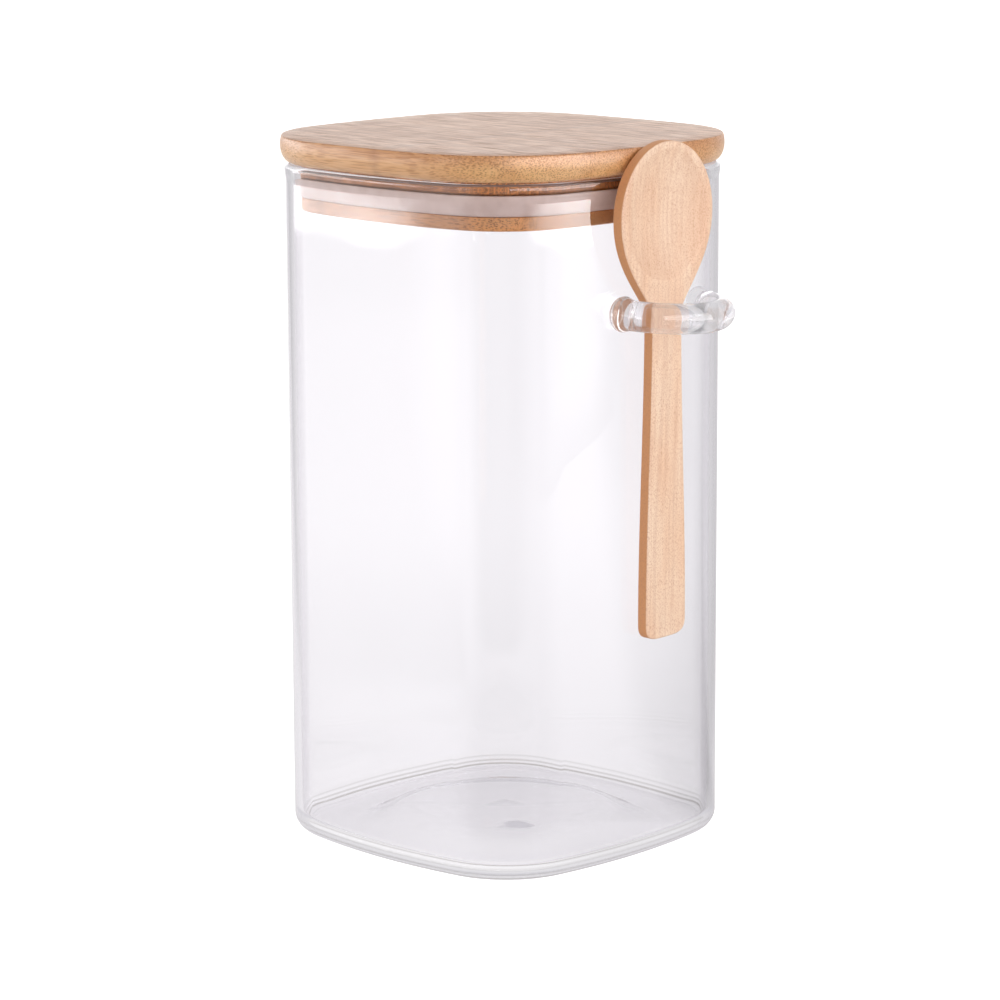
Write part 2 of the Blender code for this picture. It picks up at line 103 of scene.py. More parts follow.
# %% A bench for node trees
class Bench:
    """Adds nodes to one tree, wired as they are made."""

    def __init__(self, tree):
        self.tree = tree

    def add(self, kind, sockets=(), **settings):
        node = self.tree.nodes.new(kind)
        for name, value in settings.items():
            setattr(node, name, value)
        for name, value in dict(sockets).items():
            self.give(node.inputs[name], value)
        return node

    def give(self, socket, value):
        if isinstance(value, bpy.types.NodeSocket):
            self.tree.links.new(value, socket)
        else:
            socket.default_value = value

    def calc(self, operation, *values):
        """One step of arithmetic on numbers."""
        return self.add("ShaderNodeMath", enumerate(values), operation=operation).outputs[0]

    def times(self, first, *others):
        """Numbers multiplied with one another."""
        for other in others:
            first = self.calc("MULTIPLY", first, other)
        return first

    def choose(self, condition, if_false, if_true):
        node = self.add("GeometryNodeSwitch", input_type="FLOAT")
        for socket, value in zip(node.inputs, (condition, if_false, if_true)):
            self.give(socket, value)
        return node.outputs[0]

    def blend(self, share, first, second):
        """One colour at a share of 0, another at 1."""
        node = self.add("ShaderNodeMix", data_type="RGBA", clamp_factor=True)
        for index, value in ((0, share), (6, first), (7, second)):
            self.give(node.inputs[index], value)
        return node.outputs[2]

    def between(self, share, first, second):
        """One number at a share of 0, another at 1."""
        return self.add("ShaderNodeMix", {0: share, 2: first, 3: second}).outputs[0]

    def ramp(self, value, low, high, to_low=0.0, to_high=1.0, smooth=True):
        """Goes from one number to another while a value goes from low to high, and stays there outside."""
        kind = "SMOOTHSTEP" if smooth else "LINEAR"
        sockets = {0: value, 1: low, 2: high, 3: to_low, 4: to_high}
        return self.add("ShaderNodeMapRange", sockets, interpolation_type=kind).outputs[0]

    def stretched(self, place, x, y, z):
        """A place with each of its directions multiplied, so that a pattern on it is squeezed that way."""
        sockets = {0: place, 1: (x, y, z)}
        return self.add("ShaderNodeVectorMath", sockets, operation="MULTIPLY").outputs[0]

    def noise(self, place, detail, scale=1.0):
        sockets = {"Vector": place, "Scale": scale, "Detail": detail}
        return self.add("ShaderNodeTexNoise", sockets).outputs[0]

    def stored(self, attribute):
        """The number that the piece's mesh keeps under a name."""
        return self.add("ShaderNodeAttribute", attribute_name=attribute).outputs["Fac"]

    def relief(self, shader, height, depth, strength=1.0):
        """Small hills and dents on a shader's surface, their depth in metres."""
        sockets = {"Strength": strength, "Distance": depth, "Height": height}
        self.give(shader.inputs["Normal"], self.add("ShaderNodeBump", sockets).outputs[0])


def new_group(name, kind, inputs, outputs):
    """A node tree with named sockets: a bench for it, and its input's and output's sockets by name."""
    tree = bpy.data.node_groups.new(name, kind)
    for in_out, sockets in (("INPUT", inputs), ("OUTPUT", outputs)):
        for socket, socket_kind, default in sockets:
            socket_type = "NodeSocket" + socket_kind
            made = tree.interface.new_socket(name=socket, in_out=in_out, socket_type=socket_type)
            if default is not None:
                made.default_value = default
    given = tree.nodes.new("NodeGroupInput").outputs
    result = tree.nodes.new("NodeGroupOutput").inputs
    return Bench(tree), given, result


def new_material(name):
    """A material, a bench for its tree, its Principled shader and the socket that its surface goes to."""
    material = bpy.data.materials.new(name)
    material.use_nodes = True
    nodes = material.node_tree.nodes
    surface = nodes["Material Output"].inputs["Surface"]
    return material, Bench(material.node_tree), nodes["Principled BSDF"], surface


print("bench tools:", [tool for tool in vars(Bench) if not tool.startswith("_")])

# %% [markdown]
# The jar, the lid's board, its plug and the gasket have one rule in common: a square whose sides bulge and
# whose corners are round, drawn at many heights. Each outline is made of eight arcs, and moving it in by
# some distance keeps the arcs' centres, so walls keep their thickness at the corners. One Geometry Nodes
# tree makes all four. It takes a chain of points, each with how far the outline is moved in, what share of
# its size it keeps and its height, and skins the rings. A lathe tool can't do it, because these pieces
# aren't round.

# %% The tree that skins square rings
SIDE_SHARE = 0.42                 # of the points of a quarter, the rest are on the corner
SAME_PLACE = 0.000002             # points closer than this become one
ROUNDING = 0.0001                 # keeps a whole quarter from falling just short of itself


def square_ring_tree():
    bench, given, result = new_group(
        "square rings",
        "GeometryNodeTree",
        (
            ("Chain", "Geometry", None),
            ("Half Width", "Float", 0.05),
            ("Side Radius", "Float", 0.16),
            ("Corner Radius", "Float", 0.025),
            ("Points Round", "Int", 256),
            ("Material", "Material", None),
        ),
        (("Mesh", "Geometry", None),),
    )
    add, calc = bench.add, bench.calc
    position = add("GeometryNodeInputPosition").outputs[0]
    parts = add("ShaderNodeSeparateXYZ", {0: position}).outputs
    path = add("GeometryNodeMeshToCurve", {"Mesh": given["Chain"]}).outputs[0]
    for name, value in (("inset", parts[0]), ("share", parts[1]), ("height", parts[2])):
        path = add("GeometryNodeStoreNamedAttribute", {0: path, "Name": name, "Value": value}).outputs[0]
    circle = add("GeometryNodeCurvePrimitiveCircle", {"Resolution": given["Points Round"]}).outputs[0]
    index = add("GeometryNodeInputIndex").outputs[0]
    turn = calc("DIVIDE", index, given["Points Round"])
    circle = add("GeometryNodeStoreNamedAttribute", {0: circle, "Name": "turn", "Value": turn}).outputs[0]
    skin = add("GeometryNodeCurveToMesh", {"Curve": path, "Profile Curve": circle}).outputs[0]
    inset, share, height, turn = (
        add("GeometryNodeInputNamedAttribute", {"Name": name}).outputs[0]
        for name in ("inset", "share", "height", "turn")
    )
    side_centre = calc("SUBTRACT", given["Half Width"], given["Side Radius"])
    between = calc("SUBTRACT", given["Side Radius"], given["Corner Radius"])
    doubled = calc("MULTIPLY", calc("POWER", between, 2.0), 2.0)
    across = calc("SQRT", calc("SUBTRACT", doubled, calc("POWER", side_centre, 2.0)))
    corner_centre = calc("MULTIPLY", calc("ADD", side_centre, across), 0.5)
    half_angle = calc("ARCTAN2", corner_centre, calc("SUBTRACT", corner_centre, side_centre))
    quarter = calc("MULTIPLY", turn, 4.0)
    whole = calc("FLOOR", calc("ADD", quarter, ROUNDING))
    along = calc("SUBTRACT", quarter, whole)
    on_side = calc("LESS_THAN", along, SIDE_SHARE)
    side_angle = calc("MULTIPLY", half_angle, calc("MULTIPLY_ADD", along, 2 / SIDE_SHARE, -1.0))
    corner_sweep = calc("MULTIPLY_ADD", half_angle, -2.0, math.pi / 2)
    corner_step = calc("DIVIDE", calc("SUBTRACT", along, SIDE_SHARE), 1 - SIDE_SHARE)
    corner_angle = calc("MULTIPLY_ADD", corner_sweep, corner_step, half_angle)
    angle = bench.choose(on_side, corner_angle, side_angle)
    radius = calc("SUBTRACT", bench.choose(on_side, given["Corner Radius"], given["Side Radius"]), inset)
    centre_x = bench.choose(on_side, corner_centre, side_centre)
    centre_y = bench.choose(on_side, corner_centre, 0.0)
    x = calc("MULTIPLY", calc("MULTIPLY_ADD", radius, calc("COSINE", angle), centre_x), share)
    y = calc("MULTIPLY", calc("MULTIPLY_ADD", radius, calc("SINE", angle), centre_y), share)
    flat = add("ShaderNodeCombineXYZ", {0: x, 1: y, 2: height}).outputs[0]
    sockets = {"Vector": flat, "Angle": calc("MULTIPLY", whole, math.pi / 2)}
    turned = add("ShaderNodeVectorRotate", sockets, rotation_type="Z_AXIS").outputs[0]
    skin = add("GeometryNodeSetPosition", {"Geometry": skin, "Position": turned}).outputs[0]
    skin = add("GeometryNodeMergeByDistance", {"Geometry": skin, "Distance": SAME_PLACE}).outputs[0]
    for name in ("inset", "share", "height", "turn"):
        skin = add("GeometryNodeRemoveAttribute", {"Geometry": skin, "Name": name}).outputs[0]
    skin = add("GeometryNodeRealizeInstances", {"Geometry": skin}).outputs[0]
    skin = add("GeometryNodeSetMaterial", {"Geometry": skin, "Material": given["Material"]}).outputs[0]
    bench.give(result["Mesh"], skin)
    return bench.tree


square_rings = square_ring_tree()
print("square rings:", len(square_rings.nodes), "nodes")

# %% [markdown]
# A modifier's inputs go by the sockets' identifiers, so one helper looks them up by name. It lets the tree
# run, keeps what comes out as a plain mesh, drops the modifier, and turns all the faces outwards.

# %% From a tree to a plain mesh
SHARP = math.radians(38)


def plain_mesh(piece):
    """Puts what the piece's modifiers make in the place of its mesh."""
    made = bpy.data.meshes.new_from_object(piece.evaluated_get(bpy.context.evaluated_depsgraph_get()))
    piece.modifiers.clear()
    piece.data = made
    return piece


def tidy_mesh(piece, sharp=SHARP):
    """Faces out, smooth where the surface is round and sharp where it has an edge."""
    shape = bmesh.new()
    shape.from_mesh(piece.data)
    bmesh.ops.remove_doubles(shape, verts=shape.verts, dist=SAME_PLACE)
    bmesh.ops.recalc_face_normals(shape, faces=shape.faces)
    shape.to_mesh(piece.data)
    shape.free()
    piece.data.shade_smooth()
    piece.data.set_sharp_from_angle(angle=sharp)
    return piece


def new_piece(name, mesh):
    piece = bpy.data.objects.new(name, mesh)
    bpy.context.scene.collection.objects.link(piece)
    return piece


def set_attribute(piece, name, values):
    """Stores one number for each point of the mesh, for a material to read."""
    piece.data.attributes.new(name, "FLOAT", "POINT").data.foreach_set("value", values)


def run_tree(piece, tree, values):
    """Gives a tree its values, runs it on a piece and keeps what it makes."""
    modifier = piece.modifiers.new("shape", "NODES")
    modifier.node_group = tree
    for socket in tree.interface.items_tree:
        if socket.in_out == "INPUT" and socket.name in values:
            modifier[socket.identifier] = values[socket.name]
    return plain_mesh(piece)


def chain_piece(name, points, sizes, material, closed=False):
    """Skins square rings along a chain of points, in the order given."""
    links = [(index, index + 1) for index in range(len(points) - 1)]
    if closed:
        links.append((len(points) - 1, 0))
    chain = bpy.data.meshes.new(name)
    chain.from_pydata(points, links, [])
    return run_tree(new_piece(name, chain), square_rings, {**sizes, "Material": material})


def steps(count):
    """Shares from 0 to 1 in equal steps, with both ends."""
    return [step / count for step in range(count + 1)]


def quarter_turn(count):
    return [math.pi / 2 * share for share in steps(count)]


print("a quarter turn in 3 steps:", [round(math.degrees(angle)) for angle in quarter_turn(3)])

# %% [markdown]
# ## Glass
#
# Clear glass shows only by what it bends and mirrors. The surface is a Principled shader with full
# transmission and no roughness. The glass is faintly lilac grey, and where it is looked at along the
# surface the light has come a long way through it, so the tint is stronger there: that draws the dark line
# round every glass edge. A Transparent shader lets three kinds of light straight through. Light for what
# stands behind the glass comes so, and lights the lid's plug. Light that has been mirrored or bent very
# often would otherwise be lost and leave black spots. And a share of the light goes straight through the
# thick rod, which would bend all of it towards the dark sides of the studio. A very low ripple stands for
# the marks that the mould leaves.

# %% Clear glass
CLEAR_TINT = (0.978, 0.970, 0.984, 1)
EDGE_TINT = (0.66, 0.63, 0.68, 1)
OUTLINE_TINT = (0.50, 0.47, 0.48, 1)
FOOT_TINT = (0.20, 0.175, 0.15, 1)
STRAIGHT_TINT = (0.96, 0.955, 0.97, 1)
GLASS_INDEX = 1.47
ROD_EDGE = 0.25                   # how much of the edge's tint the rod gets, and the wall gets all of it
EDGE_BEGINS, EDGE_FULL = 0.35, 0.85
OUTLINE_BEGINS, OUTLINE_FULL = 0.80, 0.95
STRAIGHT_THROUGH = 0.22           # of the light that meets the rod
MOST_MIRRORED = 2.5
MOST_BENT = 9.5
RIPPLE_SIZE = 0.022
RIPPLE_DEPTH = 0.00006


def glass_material():
    material, bench, shader, surface = new_material("clear_glass")
    facing = bench.add("ShaderNodeLayerWeight", {"Blend": 0.5}).outputs["Facing"]
    wall = bench.stored("drawn_wall")
    edge_share = bench.calc("MULTIPLY_ADD", wall, 1 - ROD_EDGE, ROD_EDGE)
    edge = bench.times(bench.ramp(facing, EDGE_BEGINS, EDGE_FULL), edge_share)
    outline = bench.times(bench.ramp(facing, OUTLINE_BEGINS, OUTLINE_FULL), wall)
    tint = bench.blend(edge, CLEAR_TINT, EDGE_TINT)
    tint = bench.blend(outline, tint, OUTLINE_TINT)
    tint = bench.blend(bench.stored("foot_line"), tint, FOOT_TINT)
    bench.give(shader.inputs["Base Color"], tint)
    bench.give(shader.inputs["Roughness"], 0.0)
    bench.give(shader.inputs["IOR"], GLASS_INDEX)
    bench.give(shader.inputs["Transmission Weight"], 1.0)
    place = bench.add("ShaderNodeTexCoord").outputs["Object"]
    bench.relief(shader, bench.noise(place, 1.0, scale=1 / RIPPLE_SIZE), RIPPLE_DEPTH)
    clear = bench.add("ShaderNodeBsdfTransparent", {"Color": STRAIGHT_TINT}).outputs[0]
    path = bench.add("ShaderNodeLightPath").outputs
    through = bench.calc("MAXIMUM", path["Is Shadow Ray"], path["Is Diffuse Ray"])
    mirrored_away = bench.calc("GREATER_THAN", path["Glossy Depth"], MOST_MIRRORED)
    bent_away = bench.calc("GREATER_THAN", path["Ray Depth"], MOST_BENT)
    in_rod = bench.times(bench.calc("SUBTRACT", 1.0, wall), STRAIGHT_THROUGH)
    for share in (mirrored_away, bent_away, in_rod):
        through = bench.calc("MAXIMUM", through, share)
    mixed = bench.add("ShaderNodeMixShader", {0: through, 1: shader.outputs[0], 2: clear})
    bench.give(surface, mixed.outputs[0])
    return material


clear_glass = glass_material()
print("clear glass:", len(clear_glass.node_tree.nodes), "nodes")

# %% [markdown]
# The jar's chain of points starts in the middle of the underside. It goes out over the pushed-up base and
# the narrow ring that the jar stands on, up the outside, over the fire-polished rim, and down the inside to
# the middle of the floor. The blowing iron leaves a very shallow round mark in the middle of the underside.

# %% The jar's wall
HALF_WIDTH = 0.050
SIDE_RADIUS = 0.162
CORNER_RADIUS = 0.0253
JAR_HEIGHT = 0.1822
WALL = 0.0020
FLOOR = 0.0026
BASE_FILLET = 0.0046
FLOOR_FILLET = 0.0042
STANDING_RING = 0.0040
PUNT_RISE = 0.0032
STEP_RISE = 0.0022                # the part of that rise which the round step below makes
PONTIL_RADIUS = 0.0060
PONTIL_DEPTH = 0.0001
RIM_SWELL = 0.0003
BEAD_HEIGHT = 0.0050
POINTS_ROUND = 256
JAR_SIZES = {
    "Half Width": HALF_WIDTH,
    "Side Radius": SIDE_RADIUS,
    "Corner Radius": CORNER_RADIUS,
    "Points Round": POINTS_ROUND,
}


def base_points(inset, height, pontil_depth, count=80):
    """The pushed-up base from its middle to its edge, as inset, share and height."""
    points = []
    for share in steps(count):
        from_middle = share * (HALF_WIDTH - inset)
        mark = max(0.0, 1 - (from_middle / PONTIL_RADIUS) ** 2) ** 2 * pontil_depth
        bulge = (PUNT_RISE - STEP_RISE) * math.cos(share * math.pi / 2) ** 2
        points.append((inset, share, height + bulge + mark))
    return points


def jar_points():
    points = base_points(BASE_FILLET + STANDING_RING, 0.0, PONTIL_DEPTH)
    for angle in quarter_turn(30):
        points.append((BASE_FILLET * (1 - math.sin(angle)), 1.0, BASE_FILLET * (1 - math.cos(angle))))
    bead = JAR_HEIGHT - BEAD_HEIGHT
    crest_radius = WALL / 2 + RIM_SWELL
    crest = JAR_HEIGHT - crest_radius
    for share in steps(30)[1:]:
        points.append((0.0, 1.0, BASE_FILLET + (bead - BASE_FILLET) * share))
    for share in steps(8)[1:-1]:
        swell = (1 - math.cos(share * math.pi)) / 2
        points.append((-RIM_SWELL * swell, 1.0, bead + (crest - bead) * share))
    for share in steps(16):
        angle = math.pi * share
        inset = WALL / 2 - crest_radius * math.cos(angle)
        points.append((inset, 1.0, crest + crest_radius * math.sin(angle)))
    for share in steps(8)[1:-1]:
        swell = (1 + math.cos(share * math.pi)) / 2
        points.append((WALL + RIM_SWELL * swell, 1.0, crest + (bead - crest) * share))
    floor_top = FLOOR + FLOOR_FILLET
    for share in steps(30)[:-1]:
        points.append((WALL, 1.0, bead + (floor_top - bead) * share))
    for angle in quarter_turn(12):
        inset = WALL + FLOOR_FILLET * (1 - math.cos(angle))
        points.append((inset, 1.0, floor_top - FLOOR_FILLET * math.sin(angle)))
    points += base_points(WALL + FLOOR_FILLET, FLOOR, 0.0)[-2::-1]
    return points


jar = chain_piece("jar_glass", jar_points(), JAR_SIZES, clear_glass)
print("jar:", len(jar.data.polygons), "faces")

# %% [markdown]
# The mould pushes the middle of the base up in a round step. At the back the step is sharp and shows as a
# dark arc, and at the front it runs out softly. Where the iron came off, a small swirl stays in the floor.
# Neither follows the square outline, so both are pressed into the finished mesh, point by point.

# %% The step and the swirl in the base
BASE_ZONE = 0.012                 # only points lower than this belong to the base
STEP_RADIUS = 0.0325
STEP_BEHIND = 0.0060
STEP_IN_FRONT = 0.0260
SWIRL_PLACE = (0.0030, -0.0225)   # seen from the camera: to the right, and towards it
SWIRL_RADIUS = 0.0078
SWIRL_DEPTH = 0.0004
FLOOR_SIDE = FLOOR - 0.0002       # points higher than this lie on the floor's top
VERY_NEAR = 0.001                 # no direction is taken closer to the middle than this


def push_up_base(piece):
    """Lifts the round middle of the base by a step, and sinks a small swirl into the floor of the jar."""
    towards_camera = Matrix.Rotation(CORNER_TURN, 3, "Z")
    swirl = Vector((*SWIRL_PLACE, 0.0))
    lifted = 0
    for vertex in piece.data.vertices:
        place = vertex.co
        out = math.hypot(place.x, place.y)
        if place.z > BASE_ZONE or out > HALF_WIDTH:
            continue
        seen = towards_camera @ Vector((place.x, place.y, 0.0))
        in_front = min(1.0, max(0.0, 0.5 - seen.y / max(out, VERY_NEAR)))
        width = STEP_BEHIND + (STEP_IN_FRONT - STEP_BEHIND) * in_front
        past = min(1.0, max(0.0, (out - STEP_RADIUS) / width + 0.5))
        lift = (1 + math.cos(math.pi * past)) / 2 * STEP_RISE
        if place.z > FLOOR_SIDE:
            off = (seen - swirl).length / SWIRL_RADIUS
            lift -= max(0.0, 1 - off**2) ** 2 * SWIRL_DEPTH
        vertex.co.z += lift
        lifted += 1
    return lifted


print("points of the base that were moved:", push_up_base(jar))
jar.data.transform(Matrix.Translation(AXIS))

# %% [markdown]
# The loop is a glass rod bent into a half ring and fused to the wall while hot, which leaves a swollen foot
# at each end. A second tree sweeps a circle along a path and scales it by an attribute of the path's
# points, so the feet swell. The ends run on into the wall, and a Boolean union makes one body of glass of
# the two, as fusing does: two bodies with an air gap between them would show a mirror where they meet.

# %% The loop that holds the spoon
ROD_RADIUS = 0.0040
BEND_RADIUS = 0.0151
LOOP_HEIGHT = 0.1465
LOOP_OFFSET = 0.0076
LOOP_DROOP = math.radians(2.7)
LOOP_TILT = math.radians(1.5)
FOOT_SWELL = 0.0008
FOOT_LENGTH = 0.0034
TUCK = 0.45                       # share of the swell that the foot lacks right at the wall
TUCK_LENGTH = 0.25                # share of the foot's length
FUSED_DEPTH = 0.0012


def rod_tree():
    bench, given, result = new_group(
        "rod on a path",
        "GeometryNodeTree",
        (("Path", "Geometry", None), ("Sides", "Int", 48), ("Material", "Material", None)),
        (("Mesh", "Geometry", None),),
    )
    add = bench.add
    path = add("GeometryNodeMeshToCurve", {"Mesh": given["Path"]}).outputs[0]
    sockets = {"Resolution": given["Sides"], "Radius": 1.0}
    circle = add("GeometryNodeCurvePrimitiveCircle", sockets).outputs[0]
    radius = add("GeometryNodeInputNamedAttribute", {"Name": "rod_radius"}).outputs[0]
    sockets = {"Curve": path, "Profile Curve": circle, "Scale": radius, "Fill Caps": True}
    rod = add("GeometryNodeCurveToMesh", sockets).outputs[0]
    rod = add("GeometryNodeRemoveAttribute", {"Geometry": rod, "Name": "rod_radius"}).outputs[0]
    rod = add("GeometryNodeRealizeInstances", {"Geometry": rod}).outputs[0]
    rod = add("GeometryNodeSetMaterial", {"Geometry": rod, "Material": given["Material"]}).outputs[0]
    bench.give(result["Mesh"], rod)
    return bench.tree


def wall_depth(across):
    """How far the bulging front lies behind its own middle."""
    return SIDE_RADIUS - math.sqrt(SIDE_RADIUS**2 - across**2)


def foot_radius(off_wall):
    """The rod's radius at a distance from the wall: round at the wall, widest just off it."""
    if off_wall > FOOT_LENGTH:
        return ROD_RADIUS
    share = max(0.0, off_wall) / FOOT_LENGTH
    swell = math.cos(share * math.pi / 2) ** 2
    tuck = TUCK * max(0.0, 1 - share / TUCK_LENGTH) ** 2
    return ROD_RADIUS + FOOT_SWELL * (swell - tuck)


def loop_path():
    left_wall = wall_depth(LOOP_OFFSET - BEND_RADIUS)
    right_wall = wall_depth(LOOP_OFFSET + BEND_RADIUS)
    points, radii = [], []
    for share in steps(22):
        off = -FUSED_DEPTH + share * (FUSED_DEPTH + left_wall)
        points.append((-BEND_RADIUS, left_wall - off, 0.0))
        radii.append(foot_radius(off))
    for share in steps(110)[1:-1]:
        angle = math.pi * share
        points.append((-BEND_RADIUS * math.cos(angle), -BEND_RADIUS * math.sin(angle), 0.0))
        travelled = BEND_RADIUS * angle
        radii.append(foot_radius(min(left_wall + travelled, right_wall + math.pi * BEND_RADIUS - travelled)))
    for share in steps(22):
        off = right_wall - share * (FUSED_DEPTH + right_wall)
        points.append((BEND_RADIUS, right_wall - off, 0.0))
        radii.append(foot_radius(off))
    return points, radii


def make_loop():
    points, radii = loop_path()
    path = bpy.data.meshes.new("loop_path")
    path.from_pydata(points, [(index, index + 1) for index in range(len(points) - 1)], [])
    path.attributes.new("rod_radius", "FLOAT", "POINT").data.foreach_set("value", radii)
    loop = new_piece("loop", path)
    run_tree(loop, rod_tree(), {"Material": clear_glass})
    turn = Euler((LOOP_DROOP, LOOP_TILT, 0)).to_matrix().to_4x4()
    place = AXIS + Vector((LOOP_OFFSET, -HALF_WIDTH, LOOP_HEIGHT))
    loop.data.transform(Matrix.Translation(place) @ turn)
    return tidy_mesh(loop)


def fuse(body, extra):
    tidy_mesh(body)
    union = body.modifiers.new("fused on", "BOOLEAN")
    union.operation = "UNION"
    union.solver = "EXACT"
    union.object = extra
    plain_mesh(body)
    bpy.data.objects.remove(extra)
    return tidy_mesh(body)


jar_faces = len(jar.data.polygons)
fuse(jar, make_loop())
print("the loop adds", len(jar.data.polygons) - jar_faces, "faces")

# %% [markdown]
# Two numbers for each point of the glass tell the material where it is. Just under the turn to the base,
# three fine rings are tinted dark, which show as thin dark lines at the foot. And the thin wall gets its
# whole dark outline, while the thick rod, which stands in front of it, stays clearer.

# %% Marks in the glass
FOOT_LINES = ((0.0009, 1.0), (0.0022, 0.7), (0.0038, 0.45))     # height and strength
FOOT_LINE_WIDTH = 0.0005
TURNED_UNDER = -0.02              # the most that a surface there may face up,
FACES_OUT = 0.1                   # and the least that it has to face outwards
ROD_CLEAR_OF_WALL = 0.0005


def foot_line(vertex):
    """How strong the rings at the foot are at a point of the glass."""
    outwards = Vector((vertex.co.x - AXIS.x, vertex.co.y - AXIS.y, 0)).normalized()
    turns_under = vertex.normal.z < TURNED_UNDER and vertex.normal.dot(outwards) > FACES_OUT
    if not turns_under or vertex.co.z >= BASE_FILLET:
        return 0.0
    return max(strength * max(0.0, 1 - abs(vertex.co.z - height) / FOOT_LINE_WIDTH)
               for height, strength in FOOT_LINES)


def drawn_wall(vertex):
    """1 on the jar's wall and 0 on the rod in front of it."""
    return 0.0 if vertex.co.y < AXIS.y - HALF_WIDTH - ROD_CLEAR_OF_WALL else 1.0


for attribute, measure in (("foot_line", foot_line), ("drawn_wall", drawn_wall)):
    numbers = [measure(vertex) for vertex in jar.data.vertices]
    set_attribute(jar, attribute, numbers)
    print(attribute + ":", sum(number > 0 for number in numbers), "of", len(numbers), "points")

print("on the jar:", [material.name for material in jar.data.materials])
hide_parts("jar_body", "spoon_loop")
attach(jar, "jar")

# %% [markdown]
# ## Wood
#
# Bamboo is a bundle of long fibres in a paler pith. Seen on end the bundles are brown dots, small and close
# together near the stalk's skin and larger and sparser inside. Seen from the side they are long streaks.
# Both come from one pattern: Voronoi cells in a space that is squeezed along the grain, so each cell is a
# long thread. The lid's boards lie with their skin side up, so the dots thin out downwards. The board is
# varnished, and the fibres drink some of the varnish where they are open. The group gives a colour, a
# roughness, a coat of varnish and a height, and the board and the plug use it with their own values.

# %% Colours as they look on a screen
def screen(red, green, blue):
    """A colour given in 0 to 255 as a screen shows it, turned to the linear numbers that shaders take."""
    linear = []
    for value in (red, green, blue):
        value /= 255
        linear.append(value / 12.92 if value <= 0.04045 else ((value + 0.055) / 1.055) ** 2.4)
    return (*linear, 1.0)


print("middle grey on a screen gives", round(screen(128, 128, 128)[0], 3), "of white's light")

